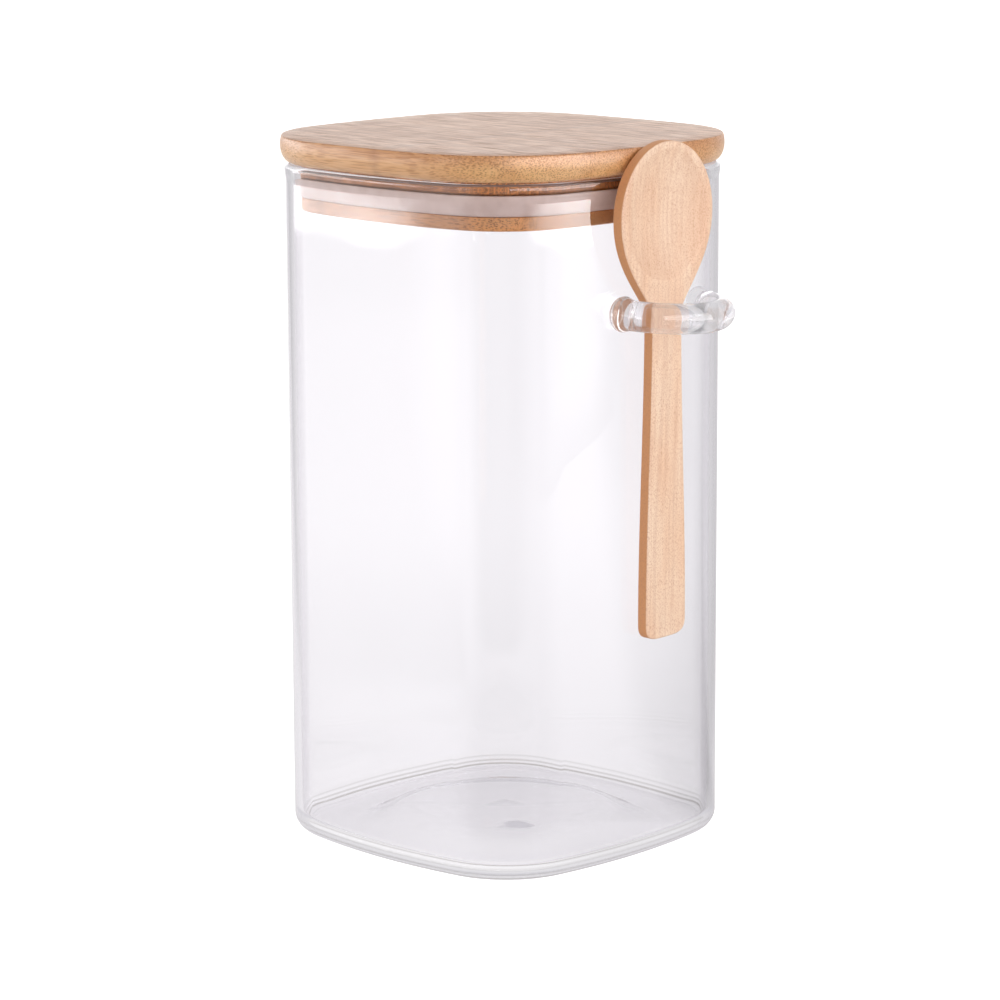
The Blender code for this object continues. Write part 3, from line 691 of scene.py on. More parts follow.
# %% Bamboo as a node group
def bamboo_group():
    bench, given, result = new_group(
        "bamboo",
        "ShaderNodeTree",
        (
            ("Vector", "Vector", None),
            ("Pith", "Color", screen(243, 189, 125)),
            ("Bundle", "Color", screen(146, 84, 38)),
            ("Skin Tint", "Color", screen(218, 152, 88)),
            ("End Grain", "Float", 0.0),
            ("Top", "Float", 0.19),
            ("Layer", "Float", 0.0075),
            ("Strip Width", "Float", 0.021),
            ("Bundle Spacing", "Float", 0.00043),
            ("Contrast", "Float", 0.64),
            ("Node Place", "Float", 0.0),
            ("Varnish", "Float", 1.0),
            ("Painted Side Shade", "Float", 0.18),
        ),
        (
            ("Color", "Color", None),
            ("Roughness", "Float", None),
            ("Varnish", "Float", None),
            ("Height", "Float", None),
        ),
    )
    add, calc, times, ramp, blend = bench.add, bench.calc, bench.times, bench.ramp, bench.blend
    place, end_grain = given["Vector"], given["End Grain"]
    x, y, z = add("ShaderNodeSeparateXYZ", {0: place}).outputs

    # Bundles: threads along y that wander a little, coarse ones everywhere and fine ones near the skin
    drift = bench.noise(bench.stretched(place, 60.0, 14.0, 60.0), 1.0)
    wander = times(calc("SUBTRACT", drift, 0.5), 0.0016)
    cell_x = calc("DIVIDE", calc("ADD", x, wander), given["Bundle Spacing"])
    cell_z = calc("DIVIDE", z, given["Bundle Spacing"])
    threads = add("ShaderNodeCombineXYZ", {0: cell_x, 1: times(y, 65.0), 2: cell_z}).outputs[0]
    depth = calc("FRACT", calc("DIVIDE", calc("SUBTRACT", given["Top"], z), given["Layer"]))
    coarse = add("ShaderNodeTexVoronoi", {"Vector": threads, "Scale": 1.0, "Randomness": 0.85}).outputs[0]
    fine = add("ShaderNodeTexVoronoi", {"Vector": threads, "Scale": 1.7, "Randomness": 0.9}).outputs[0]
    coarse_dots = ramp(calc("SUBTRACT", ramp(depth, 0.0, 0.9, 0.55, 0.42), coarse), -0.02, 0.14)
    fine_dots = ramp(calc("SUBTRACT", 0.46, fine), -0.02, 0.2)
    near_skin = ramp(depth, 0.05, 0.6, 1.0, 0.0)
    dots = calc("MAXIMUM", coarse_dots, times(fine_dots, near_skin))

    # Hairs and clouds along the grain, the strips with their seams, and the dark ring of a stalk's node
    hair = bench.noise(bench.stretched(place, 2600.0, 80.0, 2600.0), 2.0)
    cloud = bench.noise(bench.stretched(place, 170.0, 22.0, 170.0), 3.0)
    strip_place = calc("DIVIDE", x, given["Strip Width"])
    strip_number = calc("FLOOR", strip_place)
    strip_tone = add("ShaderNodeTexWhiteNoise", {"W": strip_number}, noise_dimensions="1D").outputs[0]
    from_seam = times(calc("ABSOLUTE", calc("SUBTRACT", calc("FRACT", strip_place), 0.5)), 2.0)
    seam = ramp(from_seam, 0.985, 0.998)
    node_wave = bench.noise(place, 1.0, scale=420.0)
    node_off = calc("SUBTRACT", y, calc("MULTIPLY_ADD", node_wave, 0.003, given["Node Place"]))
    at_node = ramp(calc("ABSOLUTE", node_off), 0.0, 0.0026, 1.0, 0.0)

    # The bundles show most on the ends of the fibres and on the skin side
    shown = calc("MAXIMUM", ramp(end_grain, 0.1, 0.75, 0.60, 1.0), ramp(depth, 0.03, 0.12, 1.5, 0.0))
    marks = times(dots, times(given["Contrast"], shown), ramp(hair, 0.3, 0.65, 0.55, 1.0))

    # Painted shade: the flat sides, cut along or straight across the fibres, are darker than the round
    # corners between them
    painted_side_shade = calc("MAXIMUM", ramp(end_grain, 0.15, 0.48, 1.0, 0.0), ramp(end_grain, 0.74, 0.97))
    painted_side_shade = times(painted_side_shade, ramp(depth, 0.03, 0.12))

    tone = blend(near_skin, given["Pith"], given["Skin Tint"])
    tone = blend(ramp(cloud, 0.3, 0.7, 0.0, 0.55), tone, given["Skin Tint"])
    tone = blend(marks, tone, given["Bundle"])
    tone = blend(times(ramp(hair, 0.45, 0.7), 0.22), tone, given["Bundle"])
    tone = blend(times(strip_tone, 0.16), tone, given["Skin Tint"])
    tone = blend(times(at_node, 0.26), tone, given["Bundle"])
    tone = blend(times(seam, 0.25), tone, given["Bundle"])
    tone = blend(times(painted_side_shade, given["Painted Side Shade"]), tone, given["Bundle"])
    bench.give(result["Color"], tone)
    bench.give(result["Roughness"], ramp(marks, 0.0, 1.0, 0.40, 0.52))
    soaked = calc("MULTIPLY_ADD", marks, 0.45, ramp(hair, 0.35, 0.7, 0.0, 0.50))
    bench.give(result["Varnish"], times(given["Varnish"], calc("SUBTRACT", 1.0, soaked)))
    sunk = calc("SUBTRACT", times(hair, 0.3), times(marks, 0.5))
    bench.give(result["Height"], calc("SUBTRACT", sunk, seam))
    return bench.tree


bamboo = bamboo_group()
print("bamboo:", len(bamboo.nodes), "nodes")

# %% A wood from a group
VARNISH_ROUGHNESS = 0.34
VARNISH_INDEX = 1.68


def wood_material(name, group, values, relief_depth, attributes):
    """A wood whose colour, roughness and relief come from a group, which also reads numbers of the mesh."""
    material, bench, shader, _ = new_material(name)
    grain = bench.add("ShaderNodeGroup", node_tree=group)
    bench.give(grain.inputs["Vector"], bench.add("ShaderNodeTexCoord").outputs["Object"])
    for socket, value in values.items():
        bench.give(grain.inputs[socket], value)
    for socket, attribute in attributes.items():
        bench.give(grain.inputs[socket], bench.stored(attribute))
    bench.give(shader.inputs["Base Color"], grain.outputs["Color"])
    bench.give(shader.inputs["Roughness"], grain.outputs["Roughness"])
    if "Varnish" in grain.outputs:
        bench.give(shader.inputs["Coat Weight"], grain.outputs["Varnish"])
        bench.give(shader.inputs["Coat Roughness"], VARNISH_ROUGHNESS)
        bench.give(shader.inputs["Coat IOR"], VARNISH_INDEX)
    bench.relief(shader, grain.outputs["Height"], relief_depth)
    print(name + ":", len(values), "values of its own")
    return material


# %% [markdown]
# The board is sawn from laid strips and sanded: flat under, a wide round under its edge, a short upright
# stretch and a small round above. Its outline is squarer than the jar's and stands out a little all round.

# %% The lid's board
LID_HALF = HALF_WIDTH + 0.00222
LID_SIZES = {
    "Half Width": LID_HALF,
    "Side Radius": 0.242,
    "Corner Radius": 0.0335,
    "Points Round": POINTS_ROUND,
}
BOARD_BOTTOM = JAR_HEIGHT + 0.0003
BOARD_TOP = BOARD_BOTTOM + 0.0071
TOP_WIDTH = 0.0006
TOP_HEIGHT = 0.0024
UNDER_WIDTH = 0.0028
UNDER_HEIGHT = 0.0044
BAMBOO_RELIEF = 0.00002
SANDED_OFF = 0.0003               # of the skin side

board_bamboo = wood_material("board_bamboo", bamboo, {
    "Top": BOARD_TOP + SANDED_OFF,
    "Layer": 0.0082,
    "Node Place": AXIS.y - 0.0065,
}, BAMBOO_RELIEF, {"End Grain": "end_grain"})


def board_points():
    points = [(UNDER_WIDTH, share, BOARD_BOTTOM) for share in steps(8)[:-1]]
    for angle in quarter_turn(14):
        height = BOARD_BOTTOM + UNDER_HEIGHT * (1 - math.cos(angle))
        points.append((UNDER_WIDTH * (1 - math.sin(angle)), 1.0, height))
    for angle in quarter_turn(12):
        drop = TOP_HEIGHT * (1 - math.sin(angle))
        points.append((TOP_WIDTH * (1 - math.cos(angle)), 1.0, BOARD_TOP - drop))
    points += [(TOP_WIDTH, 1 - share, BOARD_TOP) for share in steps(8)[1:]]
    return points


def lid_piece(name, node, points, sizes, material, closed=False):
    piece = chain_piece(name, points, sizes, material, closed)
    piece.data.transform(Matrix.Translation(AXIS))
    tidy_mesh(piece)
    set_attribute(piece, "end_grain", [abs(vertex.normal.y) for vertex in piece.data.vertices])
    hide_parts(node)
    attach(piece, "lid")
    print(name + ":", len(piece.data.polygons), "faces of", [given.name for given in piece.data.materials])


lid_piece("board", "lid_board", board_points(), LID_SIZES, board_bamboo)

# %% [markdown]
# The plug under the board follows the inside of the glass, so it uses the jar's own outline, moved in. A
# square groove round it holds the gasket.

# %% The lid's plug
PLUG_BOTTOM = BOARD_BOTTOM - 0.0126
GROOVE_BOTTOM = PLUG_BOTTOM + 0.0037
GROOVE_TOP = GROOVE_BOTTOM + 0.0060
PLUG_INSET = WALL + 0.0023
GROOVE_INSET = PLUG_INSET + 0.0020
PLUG_ROUND = 0.0008
LATHE_ROUND = 0.0002

plug_bamboo = wood_material("plug_bamboo", bamboo, {
    "Top": BOARD_BOTTOM + SANDED_OFF,
    "Layer": 0.0180,
    "Strip Width": 0.024,
    "Node Place": AXIS.y + 0.021,
    "Pith": screen(226, 160, 100),
    "Bundle": screen(126, 68, 30),
    "Contrast": 0.80,
    # A skin tint brighter than the board's: near the plug's top it is partly painted light, which lifts the
    # strip under the board out of the board's shade
    "Skin Tint": screen(250, 162, 76),
    "Varnish": 0.4,
    # The plug's flat sides get more of that painted shade than the board's
    "Painted Side Shade": 0.34,
}, BAMBOO_RELIEF, {"End Grain": "end_grain"})


def plug_points():
    points = [(PLUG_INSET + PLUG_ROUND, share, PLUG_BOTTOM) for share in steps(6)[:-1]]
    for angle in quarter_turn(8):
        inset = PLUG_INSET + PLUG_ROUND * (1 - math.sin(angle))
        points.append((inset, 1.0, PLUG_BOTTOM + PLUG_ROUND * (1 - math.cos(angle))))
    points += [(PLUG_INSET, 1.0, GROOVE_BOTTOM - LATHE_ROUND)]
    points += [(PLUG_INSET + LATHE_ROUND, 1.0, GROOVE_BOTTOM)]
    points += [(GROOVE_INSET, 1.0, GROOVE_BOTTOM), (GROOVE_INSET, 1.0, GROOVE_TOP)]
    points += [(PLUG_INSET + LATHE_ROUND, 1.0, GROOVE_TOP), (PLUG_INSET, 1.0, GROOVE_TOP + LATHE_ROUND)]
    points += [(PLUG_INSET, 1 - share, BOARD_BOTTOM) for share in steps(6)]
    return points


lid_piece("plug", "lid_plug", plug_points(), JAR_SIZES, plug_bamboo)

# %% [markdown]
# The gasket is soft milky silicone. A web sits in the groove, and one thin lip rises from it and cups out
# to the glass. Light goes a little way into silicone, so it gets some subsurface scattering, and a fine
# mottle in its gloss where dust and handling dull it.

# %% Silicone
SILICONE_INDEX = 1.41
LIGHT_GOES_IN = 0.0015            # how far light travels in it before it comes out again


def silicone_material():
    material, bench, shader, _ = new_material("gasket_silicone")
    place = bench.add("ShaderNodeTexCoord").outputs["Object"]
    mottle = bench.noise(place, 4.0, scale=260.0)
    sockets = {"Vector": place, "Scale": 380.0, "Randomness": 1.0}
    speck = bench.add("ShaderNodeTexVoronoi", sockets).outputs[0]
    dust = bench.times(bench.ramp(speck, 0.05, 0.11, 1.0, 0.0), 0.25)
    tone = bench.blend(bench.ramp(mottle, 0.3, 0.7), screen(228, 204, 194), screen(216, 190, 179))
    bench.give(shader.inputs["Base Color"], bench.blend(dust, tone, screen(180, 156, 144)))
    bench.give(shader.inputs["Roughness"], bench.ramp(mottle, 0.2, 0.8, 0.30, 0.46))
    bench.give(shader.inputs["IOR"], SILICONE_INDEX)
    bench.give(shader.inputs["Subsurface Weight"], 0.35)
    bench.give(shader.inputs["Subsurface Radius"], (1.0, 0.8, 0.7))
    bench.give(shader.inputs["Subsurface Scale"], LIGHT_GOES_IN)
    bench.relief(shader, mottle, 0.00003, strength=0.4)
    return material


gasket_silicone = silicone_material()
print("silicone:", len(gasket_silicone.node_tree.nodes), "nodes")

# %% The gasket
FIT_GAP = 0.0003
WEB = 0.0013
LIP = 0.0009


def gasket_points():
    low = GROOVE_BOTTOM + FIT_GAP / 3
    high = GROOVE_TOP - FIT_GAP
    web_inner = GROOVE_INSET - FIT_GAP / 3
    web_outer = web_inner - WEB
    lip_outer = WALL + RIM_SWELL + FIT_GAP
    tip = LIP / 2
    rise = high - low - tip
    flare = PLUG_INSET - lip_outer
    points = [(web_inner, 1.0, high), (web_inner, 1.0, low)]
    for angle in quarter_turn(16):
        points.append((PLUG_INSET - flare * math.sin(angle), 1.0, low + rise * (1 - math.cos(angle))))
    for share in steps(8)[1:-1]:
        angle = math.pi * share
        points.append((lip_outer + tip - tip * math.cos(angle), 1.0, low + rise + tip * math.sin(angle)))
    inner_rise = rise - LIP
    for angle in reversed(quarter_turn(16)):
        inset = web_outer - (web_outer - lip_outer - LIP) * math.sin(angle)
        points.append((inset, 1.0, low + LIP + inner_rise * (1 - math.cos(angle))))
    points.append((web_outer, 1.0, high))
    return points


gasket_chain = gasket_points()
lid_piece("gasket", "lid_gasket", gasket_chain, JAR_SIZES, gasket_silicone, closed=True)

# %% [markdown]
# ## The spoon
#
# The spoon is cut from a thin beech board, sanded round along its edges, and hollowed on one side only. Its
# outline follows a few sizes: a square end with round corners, a handle that narrows to the neck, a
# shoulder and an elliptical bowl. The mesh is made of copies of that outline, drawn in towards the middle
# line: the first ones roll over the edge, the rest cross the face, where the hollow sinks them.

# %% The spoon's outline
SPOON_LENGTH = 0.131
SPOON_THICKNESS = 0.0032
EDGE_ROUND = 0.0004
BOWL_WIDTH = 0.0350
TIP_LENGTH = 0.0190
SHOULDER = 0.0255
NECK_WIDTH = 0.0112
END_WIDTH = 0.0154
END_ROUND = 0.0055
END_POWER = 3.8
SHOULDER_POWER = 2.2
NECK_POWER = 1.4
HOLLOW_WIDTH = 0.0306
HOLLOW_LENGTH = 0.0345
HOLLOW_DEPTH = 0.0019
HOLLOW_POWER = 0.8
WIDEST = SPOON_LENGTH - TIP_LENGTH
NECK = WIDEST - SHOULDER


def spoon_side():
    """The right edge as half width and distance, from the handle's end to the tip."""
    side = []
    for angle in quarter_turn(18)[:-1]:
        power = 2 / END_POWER
        side.append((END_WIDTH / 2 * math.sin(angle) ** power, END_ROUND * (1 - math.cos(angle) ** power)))
    for share in steps(36)[:-1]:
        ease = share * share * (3 - 2 * share)
        half = (END_WIDTH + (NECK_WIDTH - END_WIDTH) * ease) / 2
        side.append((half, END_ROUND + (NECK - END_ROUND) * share))
    for share in steps(34)[:-1]:
        swell = (1 - (1 - share) ** SHOULDER_POWER) ** NECK_POWER
        side.append(((NECK_WIDTH + (BOWL_WIDTH - NECK_WIDTH) * swell) / 2, NECK + SHOULDER * share))
    for angle in quarter_turn(30):
        side.append((BOWL_WIDTH / 2 * math.cos(angle), WIDEST + TIP_LENGTH * math.sin(angle)))
    return side


def spoon_outline():
    side = spoon_side()
    return side[:-1] + [(0.0, SPOON_LENGTH)] + [(-half, along) for half, along in reversed(side[1:-1])]


print("spoon outline:", len(spoon_outline()), "points")

# %% The spoon's body
SPINE_LOW = 0.0080
SPINE_HIGH = SPOON_LENGTH - 0.0175
ROWS_ACROSS = 26                  # from the edge to the middle line


def inwards(outline):
    """For each point of the outline, the direction straight in from the edge."""
    directions = []
    for index, (x, along) in enumerate(outline):
        before = outline[index - 1]
        after = outline[(index + 1) % len(outline)]
        across = Vector((before[1] - after[1], after[0] - before[0]))
        directions.append(across.normalized() if across.length else Vector((0, 1)))
    return directions


def hollow(x, along):
    """Depth of the hollow at a place on the face, and 0 outside it."""
    across = x / (HOLLOW_WIDTH / 2)
    up = (along - WIDEST) / (HOLLOW_LENGTH / 2)
    return HOLLOW_DEPTH * max(0.0, 1 - across**2 - up**2) ** HOLLOW_POWER


def spoon_mesh():
    outline = spoon_outline()
    ways = inwards(outline)
    rings = []
    for angle in quarter_turn(6)[1:]:
        rings.append((EDGE_ROUND * (1 - math.cos(angle)), EDGE_ROUND * (1 - math.sin(angle))))
    edge = [(0.0, EDGE_ROUND), *rings]
    shape = bmesh.new()
    rows = []

    def row(inset, share, depth_of):
        made = []
        for (x, along), way in zip(outline, ways):
            px, pa = x + way.x * inset, along + way.y * inset
            spine = min(max(pa, SPINE_LOW), SPINE_HIGH)
            px, pa = px * share, spine + (pa - spine) * share
            made.append(shape.verts.new((px, depth_of(px, pa), pa)))
        rows.append(made)

    cross = [1 - share for share in steps(ROWS_ACROSS)]
    for share in reversed(cross[1:]):
        row(EDGE_ROUND, share, lambda x, a: 0.0)
    for inset, depth in reversed(edge):
        row(inset, 1.0, lambda x, a, d=depth: -d)
    for inset, depth in edge:
        row(inset, 1.0, lambda x, a, d=depth: -SPOON_THICKNESS + d)
    for share in cross[1:]:
        row(EDGE_ROUND, share, lambda x, a: -SPOON_THICKNESS + hollow(x, a))
    count = len(outline)
    for lower, upper in zip(rows, rows[1:]):
        for index in range(count):
            after = (index + 1) % count
            shape.faces.new((lower[index], lower[after], upper[after], upper[index]))
    bmesh.ops.remove_doubles(shape, verts=shape.verts, dist=2 * SAME_PLACE)
    mesh = bpy.data.meshes.new("spoon")
    shape.to_mesh(mesh)
    shape.free()
    return mesh


def mark_spoon(piece):
    """Stores where the sawn edge is and how deep the hollow is, while the spoon still lies straight."""
    front = -SPOON_THICKNESS + EDGE_ROUND / 2
    back = -EDGE_ROUND / 2
    cut_edge, depths = [], []
    for vertex in piece.data.vertices:
        x, y, along = vertex.co
        depth = hollow(x, along) if y < -EDGE_ROUND else 0.0
        depths.append(depth / HOLLOW_DEPTH)
        cut_edge.append(0.0 if depth > 0 or y < front or y > back else 1.0)
    set_attribute(piece, "cut_edge", cut_edge)
    set_attribute(piece, "hollow", depths)


spoon = new_piece("spoon", spoon_mesh())
mark_spoon(spoon)
print("spoon:", len(spoon.data.polygons), "faces")

# %% [markdown]
# The spoon hangs by its shoulder on the loop's left leg and leans out just enough to pass the lid's edge.
# The joint's axis in the packed model gives that lean, and the solid's box gives the place.

# %% Hang the spoon in the loop
SIDE_LEAN = math.radians(1.25)
SPOON_SHARP = math.radians(60)


def hang_spoon():
    lift = next(joint for joint in frame["joints"] if joint["name"] == "spoon_lift")
    lean = math.atan2(-lift["axis"][1], lift["axis"][2])
    turn = Matrix.Rotation(lean, 4, "X") @ Matrix.Rotation(-SIDE_LEAN, 4, "Y")
    spoon.data.transform(turn)
    low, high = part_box("wooden_spoon")
    corners = [vertex.co for vertex in spoon.data.vertices]
    middle = Vector([(min(c[k] for c in corners) + max(c[k] for c in corners)) / 2 for k in range(3)])
    spoon.data.transform(Matrix.Translation((low + high) / 2 - middle))
    tidy_mesh(spoon, SPOON_SHARP)
    return math.degrees(lean)


print("spoon leans out by", round(hang_spoon(), 3), "degrees")

# %% [markdown]
# Beech is pale and even. Its rays show as short fine flecks along the grain, the pores as a very fine
# speckle, and the year's growth as faint lines. The sawn edge is darker than the sanded face, partly as
# cut wood and partly as painted shade. The hollow has a little painted shade, most of all low in the bowl
# and on its right side.

# %% Beech as a node group
# Where the hollow's painted shade lies, low in the bowl and on its right
LOW_IN_BOWL = (0.157, 0.170)      # heights between which the hollow's darker low part ends
RIGHT_IN_BOWL = (0.006, 0.015)    # how far to the right its darker right part begins
BEECH_RELIEF = 0.00003


def beech_group():
    bench, given, result = new_group(
        "beech",
        "ShaderNodeTree",
        (
            ("Vector", "Vector", None),
            ("Pale", "Color", screen(251, 220, 192)),
            ("Warm", "Color", screen(244, 202, 169)),
            ("Fleck", "Color", screen(200, 138, 102)),
            ("Cut", "Color", screen(224, 158, 106)),
            ("Shade", "Color", screen(218, 170, 138)),
            ("Cut Edge", "Float", 0.0),
            ("Hollow", "Float", 0.0),
        ),
        (("Color", "Color", None), ("Roughness", "Float", None), ("Height", "Float", None)),
    )
    add, times, ramp, blend = bench.add, bench.times, bench.ramp, bench.blend
    place = given["Vector"]
    x, _, z = add("ShaderNodeSeparateXYZ", {0: place}).outputs
    cloud = bench.noise(bench.stretched(place, 150.0, 150.0, 30.0), 3.0)
    lines = bench.noise(bench.stretched(place, 1150.0, 1150.0, 22.0), 2.0)
    pores = bench.noise(bench.stretched(place, 4200.0, 4200.0, 2400.0), 2.0)
    ray_place = bench.stretched(place, 3000.0, 3000.0, 1500.0)
    rays = add("ShaderNodeTexVoronoi", {"Vector": ray_place, "Scale": 1.0}).outputs[0]

    # Painted shade in the hollow, strongest low in the bowl and on its right
    low = ramp(z, *LOW_IN_BOWL, 0.34, 0.12)
    right = ramp(x, *RIGHT_IN_BOWL, 0.12, 0.36)
    painted_hollow_shade = times(ramp(given["Hollow"], 0.0, 0.10), bench.calc("MAXIMUM", low, right))

    tone = blend(ramp(cloud, 0.3, 0.7), given["Pale"], given["Warm"])
    tone = blend(ramp(lines, 0.42, 0.62, 0.0, 0.20), tone, given["Fleck"])
    tone = blend(painted_hollow_shade, tone, given["Shade"])
    # The sawn edge's colour is partly the cut wood and partly painted shade
    tone = blend(given["Cut Edge"], tone, given["Cut"])
    tone = blend(ramp(rays, 0.10, 0.38, 0.42, 0.0), tone, given["Fleck"])
    tone = blend(ramp(pores, 0.48, 0.68, 0.0, 0.55), tone, given["Fleck"])
    bench.give(result["Color"], tone)
    bench.give(result["Roughness"], ramp(pores, 0.3, 0.7, 0.48, 0.62))
    bench.give(result["Height"], times(pores, -1.0))
    return bench.tree


SPOON_MARKS = {"Cut Edge": "cut_edge", "Hollow": "hollow"}
spoon_wood = wood_material("spoon_wood", beech_group(), {}, BEECH_RELIEF, SPOON_MARKS)
spoon.data.materials.append(spoon_wood)
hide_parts("wooden_spoon")
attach(spoon, "spoon")

# %% [markdown]
# ## Studio
#
# Clear glass looks like whatever stands round it. A white surface behind it shows through, and its sides
# mirror the walls of the studio. Here a bright card stands on the left, black cloth on the right and a dark
# room behind the camera, so the jar's corners and edges come out grey. One node group gives the light that
# comes from each side, and both the floor and the world use it for the rays that glass has bent or
# mirrored.

# %% The light from each side
CARD_LIGHT = 1.25
# Degrees from straight behind the jar, to the left below 0 and to the right above it, and the light there
SIDE_LIGHT = (
    (-180, 0.18),
    (-156, 0.18),
    (-138, 0.60),
    (-110, 1.02),
    (-60, 0.96),
    (-42, 0.64),
    (-24, 0.46),
    (-10, 0.70),
    (8, 0.70),
    (22, 0.48),
    (58, 0.60),
    (66, 0.35),
    (76, 0.08),
    (94, 0.04),
    (102, 0.75),
    (118, 0.75),
    (146, 0.18),
    (180, 0.18),
)


def side_light_group():
    bench, given, result = new_group(
        "light from each side",
        "ShaderNodeTree",
        (("Direction", "Vector", None),),
        (("Light", "Float", None), ("Behind", "Float", None), ("Aside", "Float", None)),
    )
    sockets = {"Vector": given["Direction"], "Angle": CORNER_TURN}
    turned = bench.add("ShaderNodeVectorRotate", sockets, rotation_type="Z_AXIS").outputs[0]
    aside, behind, _ = bench.add("ShaderNodeSeparateXYZ", {0: turned}).outputs
    bearing = bench.calc("ARCTAN2", aside, behind)
    place = bench.ramp(bearing, -math.pi, math.pi, smooth=False)
    all_round = bench.add("ShaderNodeValToRGB", {0: place})
    stops = all_round.color_ramp.elements
    while len(stops) < len(SIDE_LIGHT):
        stops.new(0.5)
    for stop, (degrees, light) in zip(stops, SIDE_LIGHT):
        stop.position = (degrees + 180) / 360
        stop.color = (light, light, light, 1)
    bench.give(result["Light"], bench.times(all_round.outputs[0], CARD_LIGHT))
    bench.give(result["Behind"], behind)
    bench.give(result["Aside"], aside)
    return bench.tree


side_light = side_light_group()
print("light from", len(SIDE_LIGHT), "bearings, the strongest", max(light for _, light in SIDE_LIGHT))

# %% [markdown]
# Rays in glass need three helpers. One tells which rays glass or varnish has bent or mirrored, because only
# those look for the sides of the studio. One gives an even light to rays that the glass had to let straight
# through. The last keeps glass clear where a ray was bent but never mirrored: through one piece of glass,
# such as the loop, and through both walls of the jar, away from the card that stands behind it.

# %% Rays that come out of glass
LOST_LIGHT = 0.80
LOOP_LIGHT = 0.72
WALLS_LIGHT = 1.0


def bent_rays(bench):
    """1 for rays that glass or varnish has bent or mirrored."""
    path = bench.add("ShaderNodeLightPath").outputs
    return bench.calc("MAXIMUM", path["Is Glossy Ray"], path["Is Transmission Ray"])


def even_for_lost_rays(bench, light):
    """The light, but an even one for rays that were let straight through."""
    let_through = bench.add("ShaderNodeLightPath").outputs["Transparent Depth"]
    return bench.between(bench.calc("GREATER_THAN", let_through, 0.5), light, LOST_LIGHT)


def lift_for_clear_glass(bench, light, off_card):
    """The light, but never dark for rays that went through one piece of glass, or through both walls."""
    path = bench.add("ShaderNodeLightPath").outputs
    surfaces = path["Transmission Depth"]
    never_mirrored = bench.calc("LESS_THAN", path["Glossy Depth"], 0.5)
    two = bench.times(bench.calc("GREATER_THAN", surfaces, 1.5), bench.calc("LESS_THAN", surfaces, 2.5))
    four_or_more = bench.times(bench.calc("GREATER_THAN", surfaces, 3.5), off_card)
    lift = bench.calc("MAXIMUM", bench.times(two, LOOP_LIGHT), bench.times(four_or_more, WALLS_LIGHT))
    return bench.calc("MAXIMUM", light, bench.times(never_mirrored, lift))


print("light through the loop:", LOOP_LIGHT, "through both walls:", WALLS_LIGHT)

# %% [markdown]
# The floor is pale and keeps the jar's soft shadow. To the camera it gives a little light of its own, so
# that it reads as white paper. Through the glass it is seen as other things, each by a function that works
# on places measured from the jar. Straight behind the jar it is a white card, a little greyer on its right
# and close by, where a shadow of the jar is painted on it. On the left, more than a metre out, it is the
# bright far end of the card that stands there.

# %% The cards that glass shows in place of the floor
BEHIND_LIGHT = 1.12
# Close to the jar the card's light is lowered: a painted shadow of the jar
CARD_NEAR, CARD_FAR = 0.85, 0.95   # shares of that light close to the jar and further out
CARD_LEFT = (0.09, 0.15)           # soft edges of the card behind the jar, in metres from the middle line
CARD_LEFT_OPENS = 0.35             # how much further out the left edge is for each metre back
CARD_RIGHT = (0.0, 0.13)
CARD_RIGHT_OPENS = 0.10
CARD_FRONT = (-0.10, -0.07)
CAMERA_AWAY = 0.97                 # from the camera to the jar along the floor
FAR_CARD = 4.6                     # more light from the far end of the card on the left
FAR_CARD_BEGINS = (1.30, 1.38)     # its soft edges, in metres from the jar
FAR_CARD_FADES = (1.42, 1.60)


def card_behind(bench, behind, aside):
    """1 on the card behind the jar, and 0 beside it and in front of it."""
    past_left = bench.calc("MULTIPLY_ADD", behind, -CARD_LEFT_OPENS, bench.times(aside, -1.0))
    past_right = bench.calc("MULTIPLY_ADD", behind, -CARD_RIGHT_OPENS, aside)
    left = bench.ramp(past_left, *CARD_LEFT, 1.0, 0.0)
    right = bench.ramp(past_right, *CARD_RIGHT, 1.0, 0.2)
    return bench.times(left, right, bench.ramp(behind, *CARD_FRONT))


def card_light(bench, behind, aside, distance):
    """The light of the card behind the jar, lowered close by as a painted shadow of the jar, and dimmed a
    little to the right and far back on the left.
    """
    light = bench.ramp(distance, 0.05, 0.45, CARD_NEAR * BEHIND_LIGHT, CARD_FAR * BEHIND_LIGHT)
    from_camera = bench.calc("MULTIPLY_ADD", behind, 1 / CAMERA_AWAY, 1.0)
    sight = bench.calc("DIVIDE", aside, from_camera)
    right = bench.times(bench.ramp(sight, 0.020, 0.050, 0.0, 0.12), bench.ramp(distance, 0.20, 0.60))
    left = bench.times(bench.ramp(sight, -0.025, -0.005, 0.025, 0.0), bench.ramp(distance, 0.86, 1.10))
    for dimmer in (right, left):
        light = bench.times(light, bench.calc("SUBTRACT", 1.0, dimmer))
    return light


def side_card_light(bench, sides, distance):
    """The light from each side, lowered close to the jar as a painted shadow of it, with the far end of the
    card on the left in it.
    """
    light = bench.times(sides["Light"], bench.ramp(distance, 0.05, 0.6, 0.76, 1.0))
    backwards = bench.calc("DIVIDE", sides["Behind"], bench.calc("ABSOLUTE", sides["Aside"]))
    far_card = bench.times(
        bench.ramp(sides["Light"], 0.95, 1.10),
        bench.ramp(distance, *FAR_CARD_BEGINS),
        bench.ramp(backwards, -0.33, -0.10),
        bench.ramp(backwards, 0.0, 0.25, 1.0, 0.6),
        bench.ramp(distance, *FAR_CARD_FADES, 1.0, 0.75),
    )
    return bench.calc("MULTIPLY_ADD", far_card, FAR_CARD, light)


print("the far end of the card begins", FAR_CARD_BEGINS[0], "m from the jar")

# %% [markdown]
# Close to the jar the glass at its foot bends the paper strongly. A shadow of the jar is painted into the
# paper, which greys towards the jar in rings of the jar's own rounded square. In front, faint lines in it
# give the foot its fine streaks, and a thin dark line of painted shadow lies where the base turns under.

